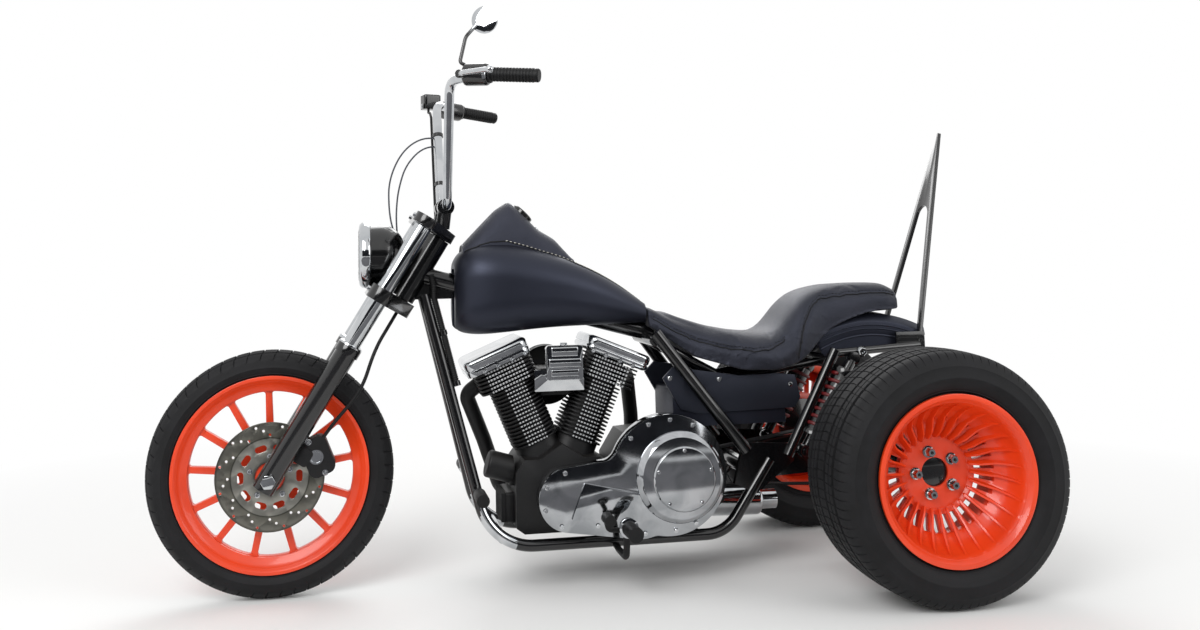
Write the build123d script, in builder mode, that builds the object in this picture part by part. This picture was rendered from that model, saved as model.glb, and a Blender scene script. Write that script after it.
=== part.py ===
from build123d import *
from math import cos, sin, radians
import os

os.makedirs("parts", exist_ok=True)

# Driving dimensions in millimetres. Forward is -X, the rider's left is -Y and the ground is Z = 0.
wheelbase = 1740
rear_track = 900
front_tyre_radius = 336
front_tyre_half_width = 44
front_lip_radius = 267
front_lip_half_width = 40
rear_tyre_radius = 326
rear_tyre_half_width = 125
rear_lip_radius = 218
rear_lip_half_width = 114
rear_dish_depth = 124
rake = 32
yoke_offset = 60
leg_half_spacing = 112
fork_tube_radius = 25
slider_radius = 31
stem_radius = 20
axle_radius = 12.5
cradle_half_width = 135
cradle_tube_radius = 16
crank_behind = 800
crank_height = 245
cylinder_lean = 22.5
spoke_count = 13
lug_circle_radius = 57
hub_shaft_radius = 22
tunnel_half_width = 38
fin_count = 28

# Clearances
running_fit = 0.05
tyre_seat = 0.3
primary_face = 154

# Stations are drawn on this layout; the bays ahead of and behind the crank stretch with it
neck_behind = 430
drawn_crank = 800
drawn_wheelbase = 1740
fender_height = 326

front_axle_x = front_tyre_radius - (front_tyre_radius + wheelbase + rear_tyre_radius) / 2
rear_axle_x = front_axle_x + wheelbase
crank_x = front_axle_x + crank_behind
housing_half_length = rear_track / 2 - 105


def along(behind):
    if behind <= neck_behind:
        return front_axle_x + behind
    if behind <= drawn_crank:
        share = (behind - neck_behind) / (drawn_crank - neck_behind)
        return front_axle_x + neck_behind + share * (crank_behind - neck_behind)
    if behind <= drawn_wheelbase:
        share = (behind - drawn_crank) / (drawn_wheelbase - drawn_crank)
        return crank_x + share * (wheelbase - crank_behind)
    return rear_axle_x + behind - drawn_wheelbase


def at(behind, across, height):
    return (along(behind), across, height)


def side_view(points):
    return [(along(behind), height) for behind, height in points]


def bent_tube(points, bend, radius):
    with BuildPart() as tube:
        with BuildLine() as path:
            FilletPolyline(*points, radius=bend)
        with BuildSketch(Plane(origin=path.line @ 0, z_dir=path.line % 0)):
            Circle(radius)
        sweep()
    return tube.part


def straight_tube(start, end, radius):
    with BuildPart() as tube:
        with BuildSketch(Plane(origin=start, z_dir=Vector(end) - Vector(start))):
            Circle(radius)
        extrude(amount=(Vector(end) - Vector(start)).length)
    return tube.part


def save(builder, name):
    builder.part.label = name
    export_step(builder.part, "parts/" + name + ".step")


front_centre = at(0, 0, front_tyre_radius)
front_radial = Plane(origin=front_centre, x_dir=(1, 0, 0), z_dir=(0, 0, 1))
front_face = Plane(origin=front_centre, x_dir=(1, 0, 0), z_dir=(0, -1, 0))
front_spin = Axis(front_centre, (0, 1, 0))
rear_centre = (rear_axle_x, -rear_track / 2, rear_tyre_radius)
rear_radial = Plane(origin=rear_centre, x_dir=(1, 0, 0), z_dir=(0, 0, 1))
rear_face = Plane(origin=rear_centre, x_dir=(1, 0, 0), z_dir=(0, -1, 0))
rear_spin = Axis(rear_centre, (0, 1, 0))
axle_face = Plane(origin=(rear_axle_x, 0, rear_tyre_radius), x_dir=(1, 0, 0), z_dir=(0, -1, 0))
fork_up = (sin(radians(rake)), 0, cos(radians(rake)))
fork_back = (cos(radians(rake)), 0, -sin(radians(rake)))
fork_plane = Plane(origin=front_centre, x_dir=fork_back, z_dir=fork_up)

# Front wheel: rim with two lips, thirteen spokes left between rounded windows, and a hub
spoke_angle = 360 / spoke_count
window_foot = spoke_angle / 2 - 6.9
window_head = spoke_angle / 2 - 2.3
with BuildSketch() as wheel_window:
    with BuildLine():
        head_arc = CenterArc((0, 0), 222, -window_head, 2 * window_head)
        foot_arc = CenterArc((0, 0), 88, -window_foot, 2 * window_foot)
        Line(foot_arc @ 0, head_arc @ 0)
        Line(foot_arc @ 1, head_arc @ 1)
    make_face()
    fillet(wheel_window.vertices(), 7)
with BuildPart() as front_wheel:
    with BuildSketch(front_radial):
        Polygon((267, -40), (267, -35), (250, -33), (250, 33), (267, 35), (267, 40), (258, 40), (240, 22),
                (224, 18), (224, -18), (240, -22), (258, -40), align=None)
        Polygon((13, -66), (58, -66), (58, -56), (46, -50), (40, 0), (46, 50), (46, 62), (13, 62), align=None)
    revolve(axis=front_spin)
    with BuildSketch(front_face):
        Circle(232)
        Circle(36, mode=Mode.SUBTRACT)
        with PolarLocations(0, spoke_count, start_angle=92 + spoke_angle / 2):
            add(wheel_window.sketch, mode=Mode.SUBTRACT)
    extrude(amount=11, both=True)
    with BuildSketch(front_face):
        Circle(axle_radius + running_fit)
    extrude(amount=80, both=True, mode=Mode.SUBTRACT)
save(front_wheel, "front_wheel")

with BuildPart() as front_tyre:
    with BuildSketch(front_radial):
        with BuildLine():
            Polyline((268, 33.5), (262, 33), (250 + tyre_seat, 31.5), (250 + tyre_seat, -31.5), (262, -33),
                     (268, -33.5))
            ThreePointArc((268, -33.5), (289, -front_tyre_half_width), (313, -39))
            ThreePointArc((313, -39), (front_tyre_radius, 0), (313, 39))
            ThreePointArc((313, 39), (289, front_tyre_half_width), (268, 33.5))
        make_face()
    revolve(axis=front_spin)
save(front_tyre, "front_tyre")

with BuildPart() as front_disc:
    with BuildSketch(front_face.offset(66)):
        Circle(146)
        Circle(40, mode=Mode.SUBTRACT)
        with PolarLocations(78, 10):
            SlotOverall(32, 17, rotation=90, mode=Mode.SUBTRACT)
        for radius, turn in ((112, 0), (124, 8), (136, 16)):
            with PolarLocations(radius, 12, start_angle=turn):
                Circle(3.5, mode=Mode.SUBTRACT)
    extrude(amount=5)
save(front_disc, "front_disc")

# Rear wheel: wide barrel, a bell of 28 blades and open slots down to a flat hub disc
lip_face = rear_lip_half_width
hub_face = lip_face - rear_dish_depth
blade_angle = 360 / fin_count
blade_lean = radians(14)
blade_planes = []
for blade in range(fin_count):
    turn = radians(blade * blade_angle)
    radial = Vector(cos(turn), 0, sin(turn))
    around = Vector(-sin(turn), 0, cos(turn))
    blade_planes.append(Plane(origin=rear_centre, x_dir=radial,
                              z_dir=around * cos(blade_lean) - Vector(0, 1, 0) * sin(blade_lean)))
with BuildPart() as rear_wheel_left:
    with BuildSketch(rear_radial):
        Polygon((218, -114), (218, -106), (196, -102), (190, 102), (206, 106), (206, 112), (190, 112),
                (184, 100),
                (184, -70), (192, -96), (206, -114), align=None)
        Polygon((38, -hub_face), (95, -hub_face), (104, 2), (140, -14), (172, -46), (186, -74), (190, -60),
                (176, -34), (146, 0), (106, 20), (90, 24), (38, 24), align=None)
    revolve(axis=rear_spin)
    with BuildSketch(rear_face.offset(-40)):
        with PolarLocations(0, fin_count, start_angle=blade_angle / 2):
            Polygon((107, -6.5), (150, -9), (150, 9), (107, 6.5), align=None)
    extrude(amount=80, mode=Mode.SUBTRACT)
    with BuildSketch(*blade_planes):
        Polygon((92, 4), (92, -6), (112, -24), (150, -42), (176, -70), (192, -100), (192, -66), (178, -40),
                (148, -6), (108, 14), align=None)
    extrude(amount=2.6, both=True)
    with BuildSketch(rear_face.offset(-30)):
        Circle(38)
        with PolarLocations(lug_circle_radius, 5, start_angle=36):
            Circle(7.5)
    extrude(amount=60, mode=Mode.SUBTRACT)
save(rear_wheel_left, "rear_wheel_left")

with BuildPart() as rear_wheel_right:
    mirror(rear_wheel_left.part, about=Plane.XZ)
save(rear_wheel_right, "rear_wheel_right")

# Rear tyres with four grooves round the tread
shoulder = rear_tyre_radius - 25
with BuildPart() as rear_tyre_left:
    with BuildSketch(rear_radial):
        with BuildLine():
            Polyline((219, 101), (206, 100.5), (191, 99), (197, -99), (206, -100.5), (219, -101))
            ThreePointArc((219, -101), (262, -rear_tyre_half_width), (shoulder, -112))
            ThreePointArc((shoulder, -112), (shoulder + 17, -102), (rear_tyre_radius - 3, -86))
            ThreePointArc((rear_tyre_radius - 3, -86), (rear_tyre_radius, 0), (rear_tyre_radius - 3, 86))
            ThreePointArc((rear_tyre_radius - 3, 86), (shoulder + 17, 102), (shoulder, 112))
            ThreePointArc((shoulder, 112), (262, rear_tyre_half_width), (219, 101))
        make_face()
    revolve(axis=rear_spin)
    with BuildSketch(rear_radial):
        with Locations(*[(rear_tyre_radius, across) for across in (-66, -22, 22, 66)]):
            Rectangle(14, 8)
    revolve(axis=rear_spin, mode=Mode.SUBTRACT)
save(rear_tyre_left, "rear_tyre_left")

with BuildPart() as rear_tyre_right:
    mirror(rear_tyre_left.part, about=Plane.XZ)
save(rear_tyre_right, "rear_tyre_right")

# Hub with its stub shaft, flange, five studs with nuts and a dark cap in the centre hole
flange_back = rear_track / 2 - 24 - 14
with BuildPart() as rear_hub_left:
    with BuildSketch(axle_face.offset(flange_back)):
        Circle(88)
    extrude(amount=14)
    with BuildSketch(axle_face.offset(housing_half_length - 45)):
        Circle(hub_shaft_radius)
    extrude(amount=flange_back - housing_half_length + 45)
    with BuildSketch(axle_face.offset(flange_back + 14)):
        Circle(37.7)
    extrude(amount=24 + hub_face - 6)
    with BuildSketch(axle_face.offset(flange_back + 14)):
        with PolarLocations(lug_circle_radius, 5, start_angle=36):
            Circle(7.2)
    extrude(amount=24 + hub_face)
    with BuildSketch(axle_face.offset(rear_track / 2 + hub_face)):
        with PolarLocations(lug_circle_radius, 5, start_angle=36):
            RegularPolygon(12, 6)
    extrude(amount=20)
save(rear_hub_left, "rear_hub_left")

with BuildPart() as rear_hub_right:
    mirror(rear_hub_left.part, about=Plane.XZ)
save(rear_hub_right, "rear_hub_right")

# Fork: sliders, tubes, axle and the two yokes on the raked plane through the axle
legs = [(0, -leg_half_spacing), (0, leg_half_spacing)]
with BuildPart() as fork_tubes:
    with BuildSketch(fork_plane.offset(408)):
        with Locations(*legs):
            Circle(fork_tube_radius)
    extrude(amount=412)
save(fork_tubes, "fork_tubes")

with BuildPart() as fork_sliders:
    with BuildSketch(fork_plane.offset(-30)):
        with Locations(*legs):
            Circle(slider_radius)
    extrude(amount=414)
    with BuildSketch(fork_plane.offset(384)):
        with Locations(*legs):
            Circle(35)
    extrude(amount=24)
    with BuildSketch(front_face):
        Circle(axle_radius)
    extrude(amount=160, both=True, mode=Mode.SUBTRACT)
save(fork_sliders, "fork_sliders")

with BuildPart() as front_axle:
    with BuildSketch(front_face.offset(-146)):
        Circle(axle_radius)
    extrude(amount=292)
    for face_distance in (143.5, -149.5):
        with BuildSketch(front_face.offset(face_distance)):
            RegularPolygon(20, 6)
        extrude(amount=6)
    for face_distance in (66.4, -80.8):
        with BuildSketch(front_face.offset(face_distance)):
            Circle(18)
        extrude(amount=14.4)
save(front_axle, "front_axle")

with BuildPart() as lower_yoke:
    with BuildSketch(fork_plane.offset(548)):
        with Locations(*legs):
            Circle(37)
        with Locations((yoke_offset, 0)):
            Circle(42)
        make_hull()
    extrude(amount=40)
    add(fork_tubes.part, mode=Mode.SUBTRACT)
    with BuildSketch(fork_plane.offset(588)):
        with Locations((yoke_offset, 0)):
            Circle(stem_radius)
    extrude(amount=204)
save(lower_yoke, "lower_yoke")

with BuildPart() as upper_yoke:
    with BuildSketch(fork_plane.offset(792)):
        with Locations(*legs):
            Circle(36)
        with Locations((yoke_offset, 0)):
            Circle(40)
        make_hull()
    extrude(amount=28)
    add(fork_tubes.part, mode=Mode.SUBTRACT)
save(upper_yoke, "upper_yoke")

with BuildPart() as caliper:
    with BuildSketch(Plane.XZ.offset(48)):
        with Locations(Location((along(128), front_tyre_radius + 52, 0), (0, 0, 22))):
            RectangleRounded(74, 104, 22)
    extrude(amount=54)
    with BuildSketch(Plane.XZ.offset(80)):
        with Locations(Location((along(82), front_tyre_radius + 60, 0), (0, 0, -32))):
            RectangleRounded(60, 46, 10)
    extrude(amount=28)
    with BuildSketch(front_face.offset(60)):
        Circle(152)
    extrude(amount=17, mode=Mode.SUBTRACT)
    add(fork_sliders.part, mode=Mode.SUBTRACT)
save(caliper, "caliper")

# Headlamp bowl and glass hang ahead of the fork between the yokes
lamp_front = 254
lamp_height = 930
lamp_plane = Plane(origin=at(lamp_front, 0, lamp_height), x_dir=(0, 1, 0), z_dir=(1, 0, 0))
with BuildPart() as headlamp:
    with BuildSketch(lamp_plane):
        Circle(86)
    extrude(amount=118)
    fillet(headlamp.faces().sort_by(Axis.X)[-1].edges(), 70)
    with BuildSketch(lamp_plane):
        Circle(92)
    extrude(amount=20)
    with BuildSketch(lamp_plane):
        Circle(80)
    extrude(amount=24, mode=Mode.SUBTRACT)
    with BuildSketch(Plane.XY.offset(818)):
        with Locations((along(300), 0)):
            RectangleRounded(24, 56, 8)
    extrude(amount=42)
    add(lower_yoke.part, mode=Mode.SUBTRACT)
save(headlamp, "headlamp")

with BuildPart() as headlamp_glass:
    with BuildSketch(lamp_plane.offset(-14)):
        Circle(79.5)
    extrude(amount=38)
    fillet(headlamp_glass.faces().sort_by(Axis.X)[0].edges(), 13)
save(headlamp_glass, "headlamp_glass")

# High handlebar in one bent tube, risers and grips
left_bar = [at(487, -100, 1062), at(487, -230, 1398), at(548, -366, 1396), at(694, -438, 1381)]
right_bar = [at(694, 438, 1381), at(548, 366, 1396), at(487, 230, 1398), at(487, 100, 1062)]
with BuildPart() as handlebar:
    add(bent_tube(right_bar + left_bar, (60, 50, 40, 40, 50, 60), 13.5))
    add(straight_tube(at(487, -28, 1062), at(487, 28, 1062), 14))
save(handlebar, "handlebar")

with BuildPart() as grips:
    for across in (-1, 1):
        grip_start = Vector(at(578, across * 380.8, 1392.9))
        grip_end = Vector(at(700, across * 441, 1380.4))
        add(straight_tube(grip_start, grip_end, 19))
    add(handlebar.part, mode=Mode.SUBTRACT)
save(grips, "grips")

with BuildPart() as risers:
    for across in (-48, 48):
        add(straight_tube(at(487, across, 1066), at(478, across, 1000), 20))
        add(straight_tube(at(487, across - 20, 1062), at(487, across + 20, 1062), 24))
    add(handlebar.part, mode=Mode.SUBTRACT)
    add(upper_yoke.part, mode=Mode.SUBTRACT)
save(risers, "risers")

# Switch housings, the right one with the brake reservoir, and ball-ended levers ahead of the grips
hand_controls = []
for across in (-1, 1):
    with BuildPart() as control:
        add(straight_tube(at(516, across * 345, 1397), at(577, across * 380, 1393), 30))
        fillet(control.edges().filter_by(GeomType.CIRCLE), 9)
        add(straight_tube(at(520, across * 352, 1396), at(496, across * 392, 1392), 11))
        if across > 0:
            with BuildSketch(Plane.XY.offset(1398)):
                with Locations(Location((along(478), 352, 0), (0, 0, 18))):
                    RectangleRounded(58, 44, 9)
            extrude(amount=48)
            fillet(control.faces().sort_by(Axis.Z)[-1].edges(), 5)
        add(handlebar.part, mode=Mode.SUBTRACT)
        lever_tip = at(568, across * 462, 1393)
        add(bent_tube([at(498, across * 388, 1392), at(506, across * 412, 1392), lever_tip], 12, 7))
        with Locations(lever_tip):
            Sphere(10)
    hand_controls.append(control)
save(hand_controls[0], "left_control")
save(hand_controls[1], "right_control")

with BuildPart() as mirror_head:
    mirror_stem = [at(530, -350, 1416), at(504, -344, 1430), at(521, -338, 1500), at(556, -330, 1540)]
    add(bent_tube(mirror_stem, (10, 40), 5))
    with BuildSketch(Plane(origin=at(580, -330, 1546), x_dir=(0.87, -0.5, 0), z_dir=(-0.5, -0.87, 0))):
        Circle(37)
    extrude(amount=18)
    fillet(mirror_head.edges().filter_by(lambda edge: edge.length > 200).sort_by(Axis.Y)[0], 14)
    add(hand_controls[0].part, mode=Mode.SUBTRACT)
    add(handlebar.part, mode=Mode.SUBTRACT)
save(mirror_head, "mirror")

with BuildPart() as brake_hose:
    hose_route = [at(138, -96, 432), at(172, -104, 480), at(246, -118, 560), at(282, -100, 670),
                  at(330, -60, 742), at(345, -40, 765)]
    add(bent_tube(hose_route, (20, 50, 50, 20), 5))
    add(lower_yoke.part, mode=Mode.SUBTRACT)
    add(caliper.part, mode=Mode.SUBTRACT)
save(brake_hose, "brake_hose")

# Frame: head tube and backbone with the seat rails, then the twin cradle
with BuildPart() as frame_spine:
    with BuildSketch(fork_plane.offset(590)):
        with Locations((yoke_offset, 0)):
            Circle(34)
    extrude(amount=200)
    add(straight_tube(at(425, 0, 868), at(1098, 0, 684), 26))
    add(straight_tube(at(1082, -100, 668), at(1082, 100, 668), 17))
    add(straight_tube(at(548, -tunnel_half_width, 834), at(548, tunnel_half_width, 834), 12))
    add(straight_tube(at(968, -tunnel_half_width, 722), at(968, tunnel_half_width, 722), 12))
    for across in (-1, 1):
        rail = [at(1082, across * 72, 668), at(1300, across * 72, 548), at(1598, across * 72, 590)]
        add(bent_tube(rail, 80, 12))
    add(straight_tube(at(1596, -136, 598), at(1596, 136, 598), 14))
    with BuildSketch(Plane.XZ):
        Polygon(*side_view([(400, 800), (560, 800), (430, 880)]), align=None)
    extrude(amount=9, both=True)
    with BuildSketch(fork_plane.offset(500)):
        with Locations((yoke_offset, 0)):
            Circle(stem_radius + running_fit)
    extrude(amount=400, mode=Mode.SUBTRACT)
save(frame_spine, "frame_spine")

with BuildPart() as frame_cradle:
    for across in (-1, 1):
        wide = across * cradle_half_width
        loop = [at(424, across * 34, 812), at(594, wide, 127), at(1262, wide, 127), at(1400, wide, 325)]
        add(bent_tube(loop, (150, 110), cradle_tube_radius))
        add(straight_tube(at(1080, across * 106, 690), at(1330.6, across * 138, 352), 18))
        add(straight_tube(at(1608, across * 150, 628), at(1452, across * 146, 334), 15))
        add(straight_tube(at(1602, across * 150, 618), at(1884, across * 124, 630), 12))
        with BuildSketch(Plane.XZ.offset(-across * cradle_half_width - 8)):
            Polygon(*side_view([(1290, 262), (1352, 232), (1470, 318), (1470, 366), (1320, 376)]), align=None)
        extrude(amount=16)
    for behind, height in ((624, 150), (1180, 127)):
        add(straight_tube(at(behind, -cradle_half_width, height), at(behind, cradle_half_width, height), 13))
    add(frame_spine.part, mode=Mode.SUBTRACT)
save(frame_cradle, "frame_cradle")

# Swing arms on a pivot tube carry the axle housing with its differential
with BuildPart() as swing_arm:
    add(straight_tube(at(1345, -117, 300), at(1345, 117, 300), 24))
    add(straight_tube(at(1345, -127, 300), at(1345, 127, 300), 10))
    for across in (-105, 105):
        with BuildSketch(Plane.XZ.offset(-across - 12)):
            Polygon(*side_view([(1330, 268), (1345, 328), (1700, rear_tyre_radius + 40),
                                (1740, rear_tyre_radius), (1700, rear_tyre_radius - 40)]), align=None)
            with Locations((rear_axle_x, rear_tyre_radius)):
                Circle(58)
        extrude(amount=24)
        add(straight_tube(at(1500, across, 345), at(1500, across * 1.6, 345), 10))
    with BuildSketch(Plane.XZ.offset(-140)):
        with Locations((rear_axle_x, rear_tyre_radius)):
            Circle(40)
    extrude(amount=280, mode=Mode.SUBTRACT)
save(swing_arm, "swing_arm")

with BuildPart() as axle_housing:
    with BuildSketch(Plane.XZ.offset(-housing_half_length)):
        with Locations((rear_axle_x, rear_tyre_radius)):
            Circle(40)
    extrude(amount=2 * housing_half_length)
    with BuildSketch(Plane.XZ.offset(-56)):
        with Locations((rear_axle_x, rear_tyre_radius)):
            Circle(92)
    extrude(amount=100)
    with BuildSketch(Plane.XZ.offset(44)):
        with Locations((rear_axle_x, rear_tyre_radius)):
            Circle(96)
    extrude(amount=46)
    with BuildSketch(Plane.XZ.offset(-housing_half_length - 15)):
        with Locations((rear_axle_x, rear_tyre_radius)):
            Circle(hub_shaft_radius + running_fit)
    extrude(amount=62, mode=Mode.SUBTRACT)
    with BuildSketch(Plane.XZ.offset(housing_half_length - 47)):
        with Locations((rear_axle_x, rear_tyre_radius)):
            Circle(hub_shaft_radius + running_fit)
    extrude(amount=62, mode=Mode.SUBTRACT)
save(axle_housing, "axle_housing")

with BuildPart() as shocks:
    for across in (-150, 150):
        add(straight_tube(at(1508, across, 358), at(1656, across, 596), 15))
        add(straight_tube(at(1527, across, 388), at(1635, across, 562), 33))
        add(straight_tube(at(1500, across - 12, 345), at(1500, across + 12, 345), 19))
        add(straight_tube(at(1661, across - 12, 602), at(1661, across + 12, 602), 18))
    add(swing_arm.part, mode=Mode.SUBTRACT)
    add(frame_cradle.part, mode=Mode.SUBTRACT)
save(shocks, "shocks")

# Engine: crankcase, two finned barrels with heads at 45 degrees, rocker boxes
with BuildPart() as crankcase:
    with BuildSketch(Plane.XZ.offset(-112)):
        Polygon(*side_view([(668, 168), (668, 318), (693, 352), (738, 352), (800, 392), (862, 352),
                            (907, 352), (955, 320), (955, 152), (690, 152)]), align=None)
    extrude(amount=224)
    with BuildSketch(Plane.XZ.offset(112)):
        with Locations((crank_x, crank_height + 5)):
            Circle(76)
    extrude(amount=primary_face - 112)
    for lean in (-cylinder_lean, cylinder_lean):
        bore = Plane(origin=(crank_x, 0, crank_height), x_dir=(cos(radians(lean)), 0, -sin(radians(lean))),
                     z_dir=(sin(radians(lean)), 0, cos(radians(lean))))
        with BuildSketch(bore):
            RectangleRounded(124, 136, 50)
        extrude(amount=160)
save(crankcase, "crankcase")

with BuildPart() as timing_cover:
    with BuildSketch(Plane.XZ.offset(-154)):
        with Locations((along(760), 255)):
            Circle(78)
        with Locations((along(850), 270)):
            Circle(62)
        make_hull()
    extrude(amount=42)
    chamfer(timing_cover.faces().sort_by(Axis.Y)[-1].edges(), 9)
save(timing_cover, "timing_cover")

barrels = []
rocker_boxes = []
for lean in (-cylinder_lean, cylinder_lean):
    side = -1 if lean < 0 else 1
    bore = Plane(origin=(crank_x, 0, crank_height), x_dir=(cos(radians(lean)), 0, -sin(radians(lean))),
                 z_dir=(sin(radians(lean)), 0, cos(radians(lean))))
    with BuildPart() as barrel:
        with BuildSketch(bore.offset(160)):
            RectangleRounded(108, 128, 45)
        extrude(amount=245)
        with BuildSketch(*[bore.offset(163 + 11 * row) for row in range(16)]):
            RectangleRounded(132, 152, 40)
        extrude(amount=4)
        with BuildSketch(*[bore.offset(340 + 11 * row) for row in range(6)]):
            with Locations((side * 6, 0)):
                RectangleRounded(172, 172, 34)
        extrude(amount=5)
    barrels.append(barrel)
    with BuildPart() as rocker_box:
        with BuildSketch(bore.offset(405)):
            with Locations((side * 14, 6)):
                RectangleRounded(192, 212, 26)
        extrude(amount=45)
        fillet(rocker_box.faces().sort_by(SortBy.DISTANCE, reverse=True)[0].edges(), 12)
        with BuildSketch(bore.offset(421)):
            with Locations((side * 14, 6)):
                RectangleRounded(210, 230, 30)
                RectangleRounded(186, 206, 23, mode=Mode.SUBTRACT)
        extrude(amount=4, mode=Mode.SUBTRACT)
    rocker_boxes.append(rocker_box)
save(barrels[0], "front_cylinder")
save(barrels[1], "rear_cylinder")
save(rocker_boxes[0], "front_rocker_box")
save(rocker_boxes[1], "rear_rocker_box")

with BuildPart() as pushrod_tubes:
    for foot in (748, 784, 816, 852):
        lean = cylinder_lean if foot > drawn_crank else -cylinder_lean
        toe = at(foot, 126, 322)
        reach = crank_x + sin(radians(lean)) * 412 + (foot - drawn_crank) * 0.75
        add(straight_tube(toe, (reach, 99, crank_height + cos(radians(lean)) * 412), 8))
    for neighbour in rocker_boxes + [timing_cover]:
        add(neighbour.part, mode=Mode.SUBTRACT)
save(pushrod_tubes, "pushrod_tubes")

with BuildPart() as gearbox:
    with BuildSketch(Plane.XZ.offset(-112)):
        Polygon(*side_view([(955, 152), (955, 330), (1000, 400), (1150, 412), (1150, 152)]), align=None)
    extrude(amount=224)
    with BuildSketch(Plane.XZ.offset(-112)):
        Polygon(*side_view([(1150, 160), (1150, 404), (1250, 392), (1288, 340), (1288, 200), (1240, 160)]),
                align=None)
    extrude(amount=166)
    with BuildSketch(Plane.XZ.offset(112)):
        with Locations((along(1095), 300)):
            Circle(100)
    extrude(amount=primary_face - 112)
    with BuildSketch(Plane.XZ.offset(54)):
        with Locations((along(1216), 300)):
            Circle(44)
    extrude(amount=36)
save(gearbox, "gearbox")

with BuildPart() as drive_belt:
    with BuildSketch(Plane.XZ.offset(60)):
        with Locations((along(1216), 300)):
            Circle(49)
        with Locations((rear_axle_x, rear_tyre_radius)):
            Circle(101)
        make_hull()
    extrude(amount=28)
    with BuildSketch(Plane.XZ.offset(60)) as belt_inside:
        with Locations((along(1216), 300)):
            Circle(44.2)
        with Locations((rear_axle_x, rear_tyre_radius)):
            Circle(96.2)
        make_hull()
    extrude(amount=28, mode=Mode.SUBTRACT)
save(drive_belt, "drive_belt")

# Polished primary cover: round nose over the crank, waisted run and the big clutch end
with BuildPart() as primary_cover:
    with BuildSketch(Plane.XZ.offset(primary_face)) as primary_outline:
        with Locations((along(803), 256)):
            Circle(86)
        with Locations((along(1000), 252)):
            Circle(111)
        make_hull()
        with Locations((along(1084), 308)):
            Circle(164)
        fillet(primary_outline.vertices().group_by(Axis.Z)[-1], 40)
    extrude(amount=44)
    with BuildSketch(Plane.XZ.offset(primary_face + 44)):
        with Locations((along(1112), 302)):
            Circle(124)
    extrude(amount=24)
    chamfer(primary_cover.faces().sort_by(Axis.Y)[0].edges(), 14)
    with BuildSketch(Plane.XZ.offset(primary_face + 44)):
        Polygon(*side_view([(806, 206), (842, 300), (1000, 262), (1000, 190)]), align=None)
    extrude(amount=9)
save(primary_cover, "primary_cover")

with BuildPart() as clutch_cover:
    with BuildSketch(Plane.XZ.offset(primary_face + 68)):
        with Locations((along(1118), 300)):
            Circle(88)
    extrude(amount=9)
    chamfer(clutch_cover.faces().sort_by(Axis.Y)[0].edges(), 4)
save(clutch_cover, "clutch_cover")

with BuildPart() as coil_cover:
    with BuildSketch(Plane.XZ.offset(80)):
        with Locations((along(800), 566)):
            Rectangle(142, 60)
    extrude(amount=12)
    with BuildSketch(Plane.XZ.offset(92)):
        with Locations((along(812), 616)):
            RectangleRounded(104, 96, 10)
    extrude(amount=26)
    for barrel in barrels:
        add(barrel.part, mode=Mode.SUBTRACT)
    for rocker_box in rocker_boxes:
        add(rocker_box.part, mode=Mode.SUBTRACT)
save(coil_cover, "coil_cover")

with BuildPart() as oil_filter:
    with BuildSketch(Plane(origin=at(668, -52, 318), x_dir=(0, 1, 0), z_dir=(-1, 0, 0.3))):
        Circle(38)
    extrude(amount=78)
    fillet(oil_filter.edges().sort_by(Axis.X)[0], 8)
    with BuildSketch(Plane(origin=at(668, -52, 300), x_dir=(0, 1, 0), z_dir=(1, 0, 0))):
        RectangleRounded(50, 44, 6)
    extrude(amount=-14)
    add(crankcase.part, mode=Mode.SUBTRACT)
    with BuildSketch(Plane(origin=at(668, 0, 300), x_dir=(0, 1, 0), z_dir=(1, 0, 0))):
        Rectangle(400, 400)
    extrude(amount=60, mode=Mode.SUBTRACT)
save(oil_filter, "oil_filter")

with BuildPart() as regulator:
    with BuildSketch(Plane(origin=at(668, 0, 216), x_dir=(0, 1, 0), z_dir=(-1, 0, 0))):
        RectangleRounded(132, 84, 8)
    extrude(amount=22)
    with BuildSketch(Plane(origin=at(646, 0, 216), x_dir=(0, 1, 0), z_dir=(-1, 0, 0))):
        with GridLocations(16, 0, 8, 1):
            Rectangle(5, 80)
    extrude(amount=14)
save(regulator, "regulator")

with BuildPart() as air_cleaner:
    with BuildSketch(Plane.XZ.offset(-116)):
        with Locations((along(800), 556)):
            RectangleRounded(110, 76, 14)
    extrude(amount=150)
    with BuildSketch(Plane.XZ.offset(-172)):
        with Locations((along(800), 560)):
            Circle(88)
    extrude(amount=56)
    fillet(air_cleaner.faces().sort_by(Axis.Y)[-1].edges(), 12)
    for barrel in barrels:
        add(barrel.part, mode=Mode.SUBTRACT)
    add(coil_cover.part, mode=Mode.SUBTRACT)
save(air_cleaner, "air_cleaner")

with BuildPart() as exhaust_pipes:
    add(bent_tube([(crank_x - 200, 40, 560), at(548, 52, 520), at(606, 118, 380), at(662, 196, 226),
                   at(770, 204, 152), at(912, 204, 150)], (30, 60, 60, 60), 22))
    add(bent_tube([(crank_x + 210, 60, 565), at(1056, 150, 550), at(1080, 204, 420), at(1080, 204, 190)],
                  (36, 60), 22))
    for barrel in barrels + rocker_boxes:
        add(barrel.part, mode=Mode.SUBTRACT)
save(exhaust_pipes, "exhaust_pipes")

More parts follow.
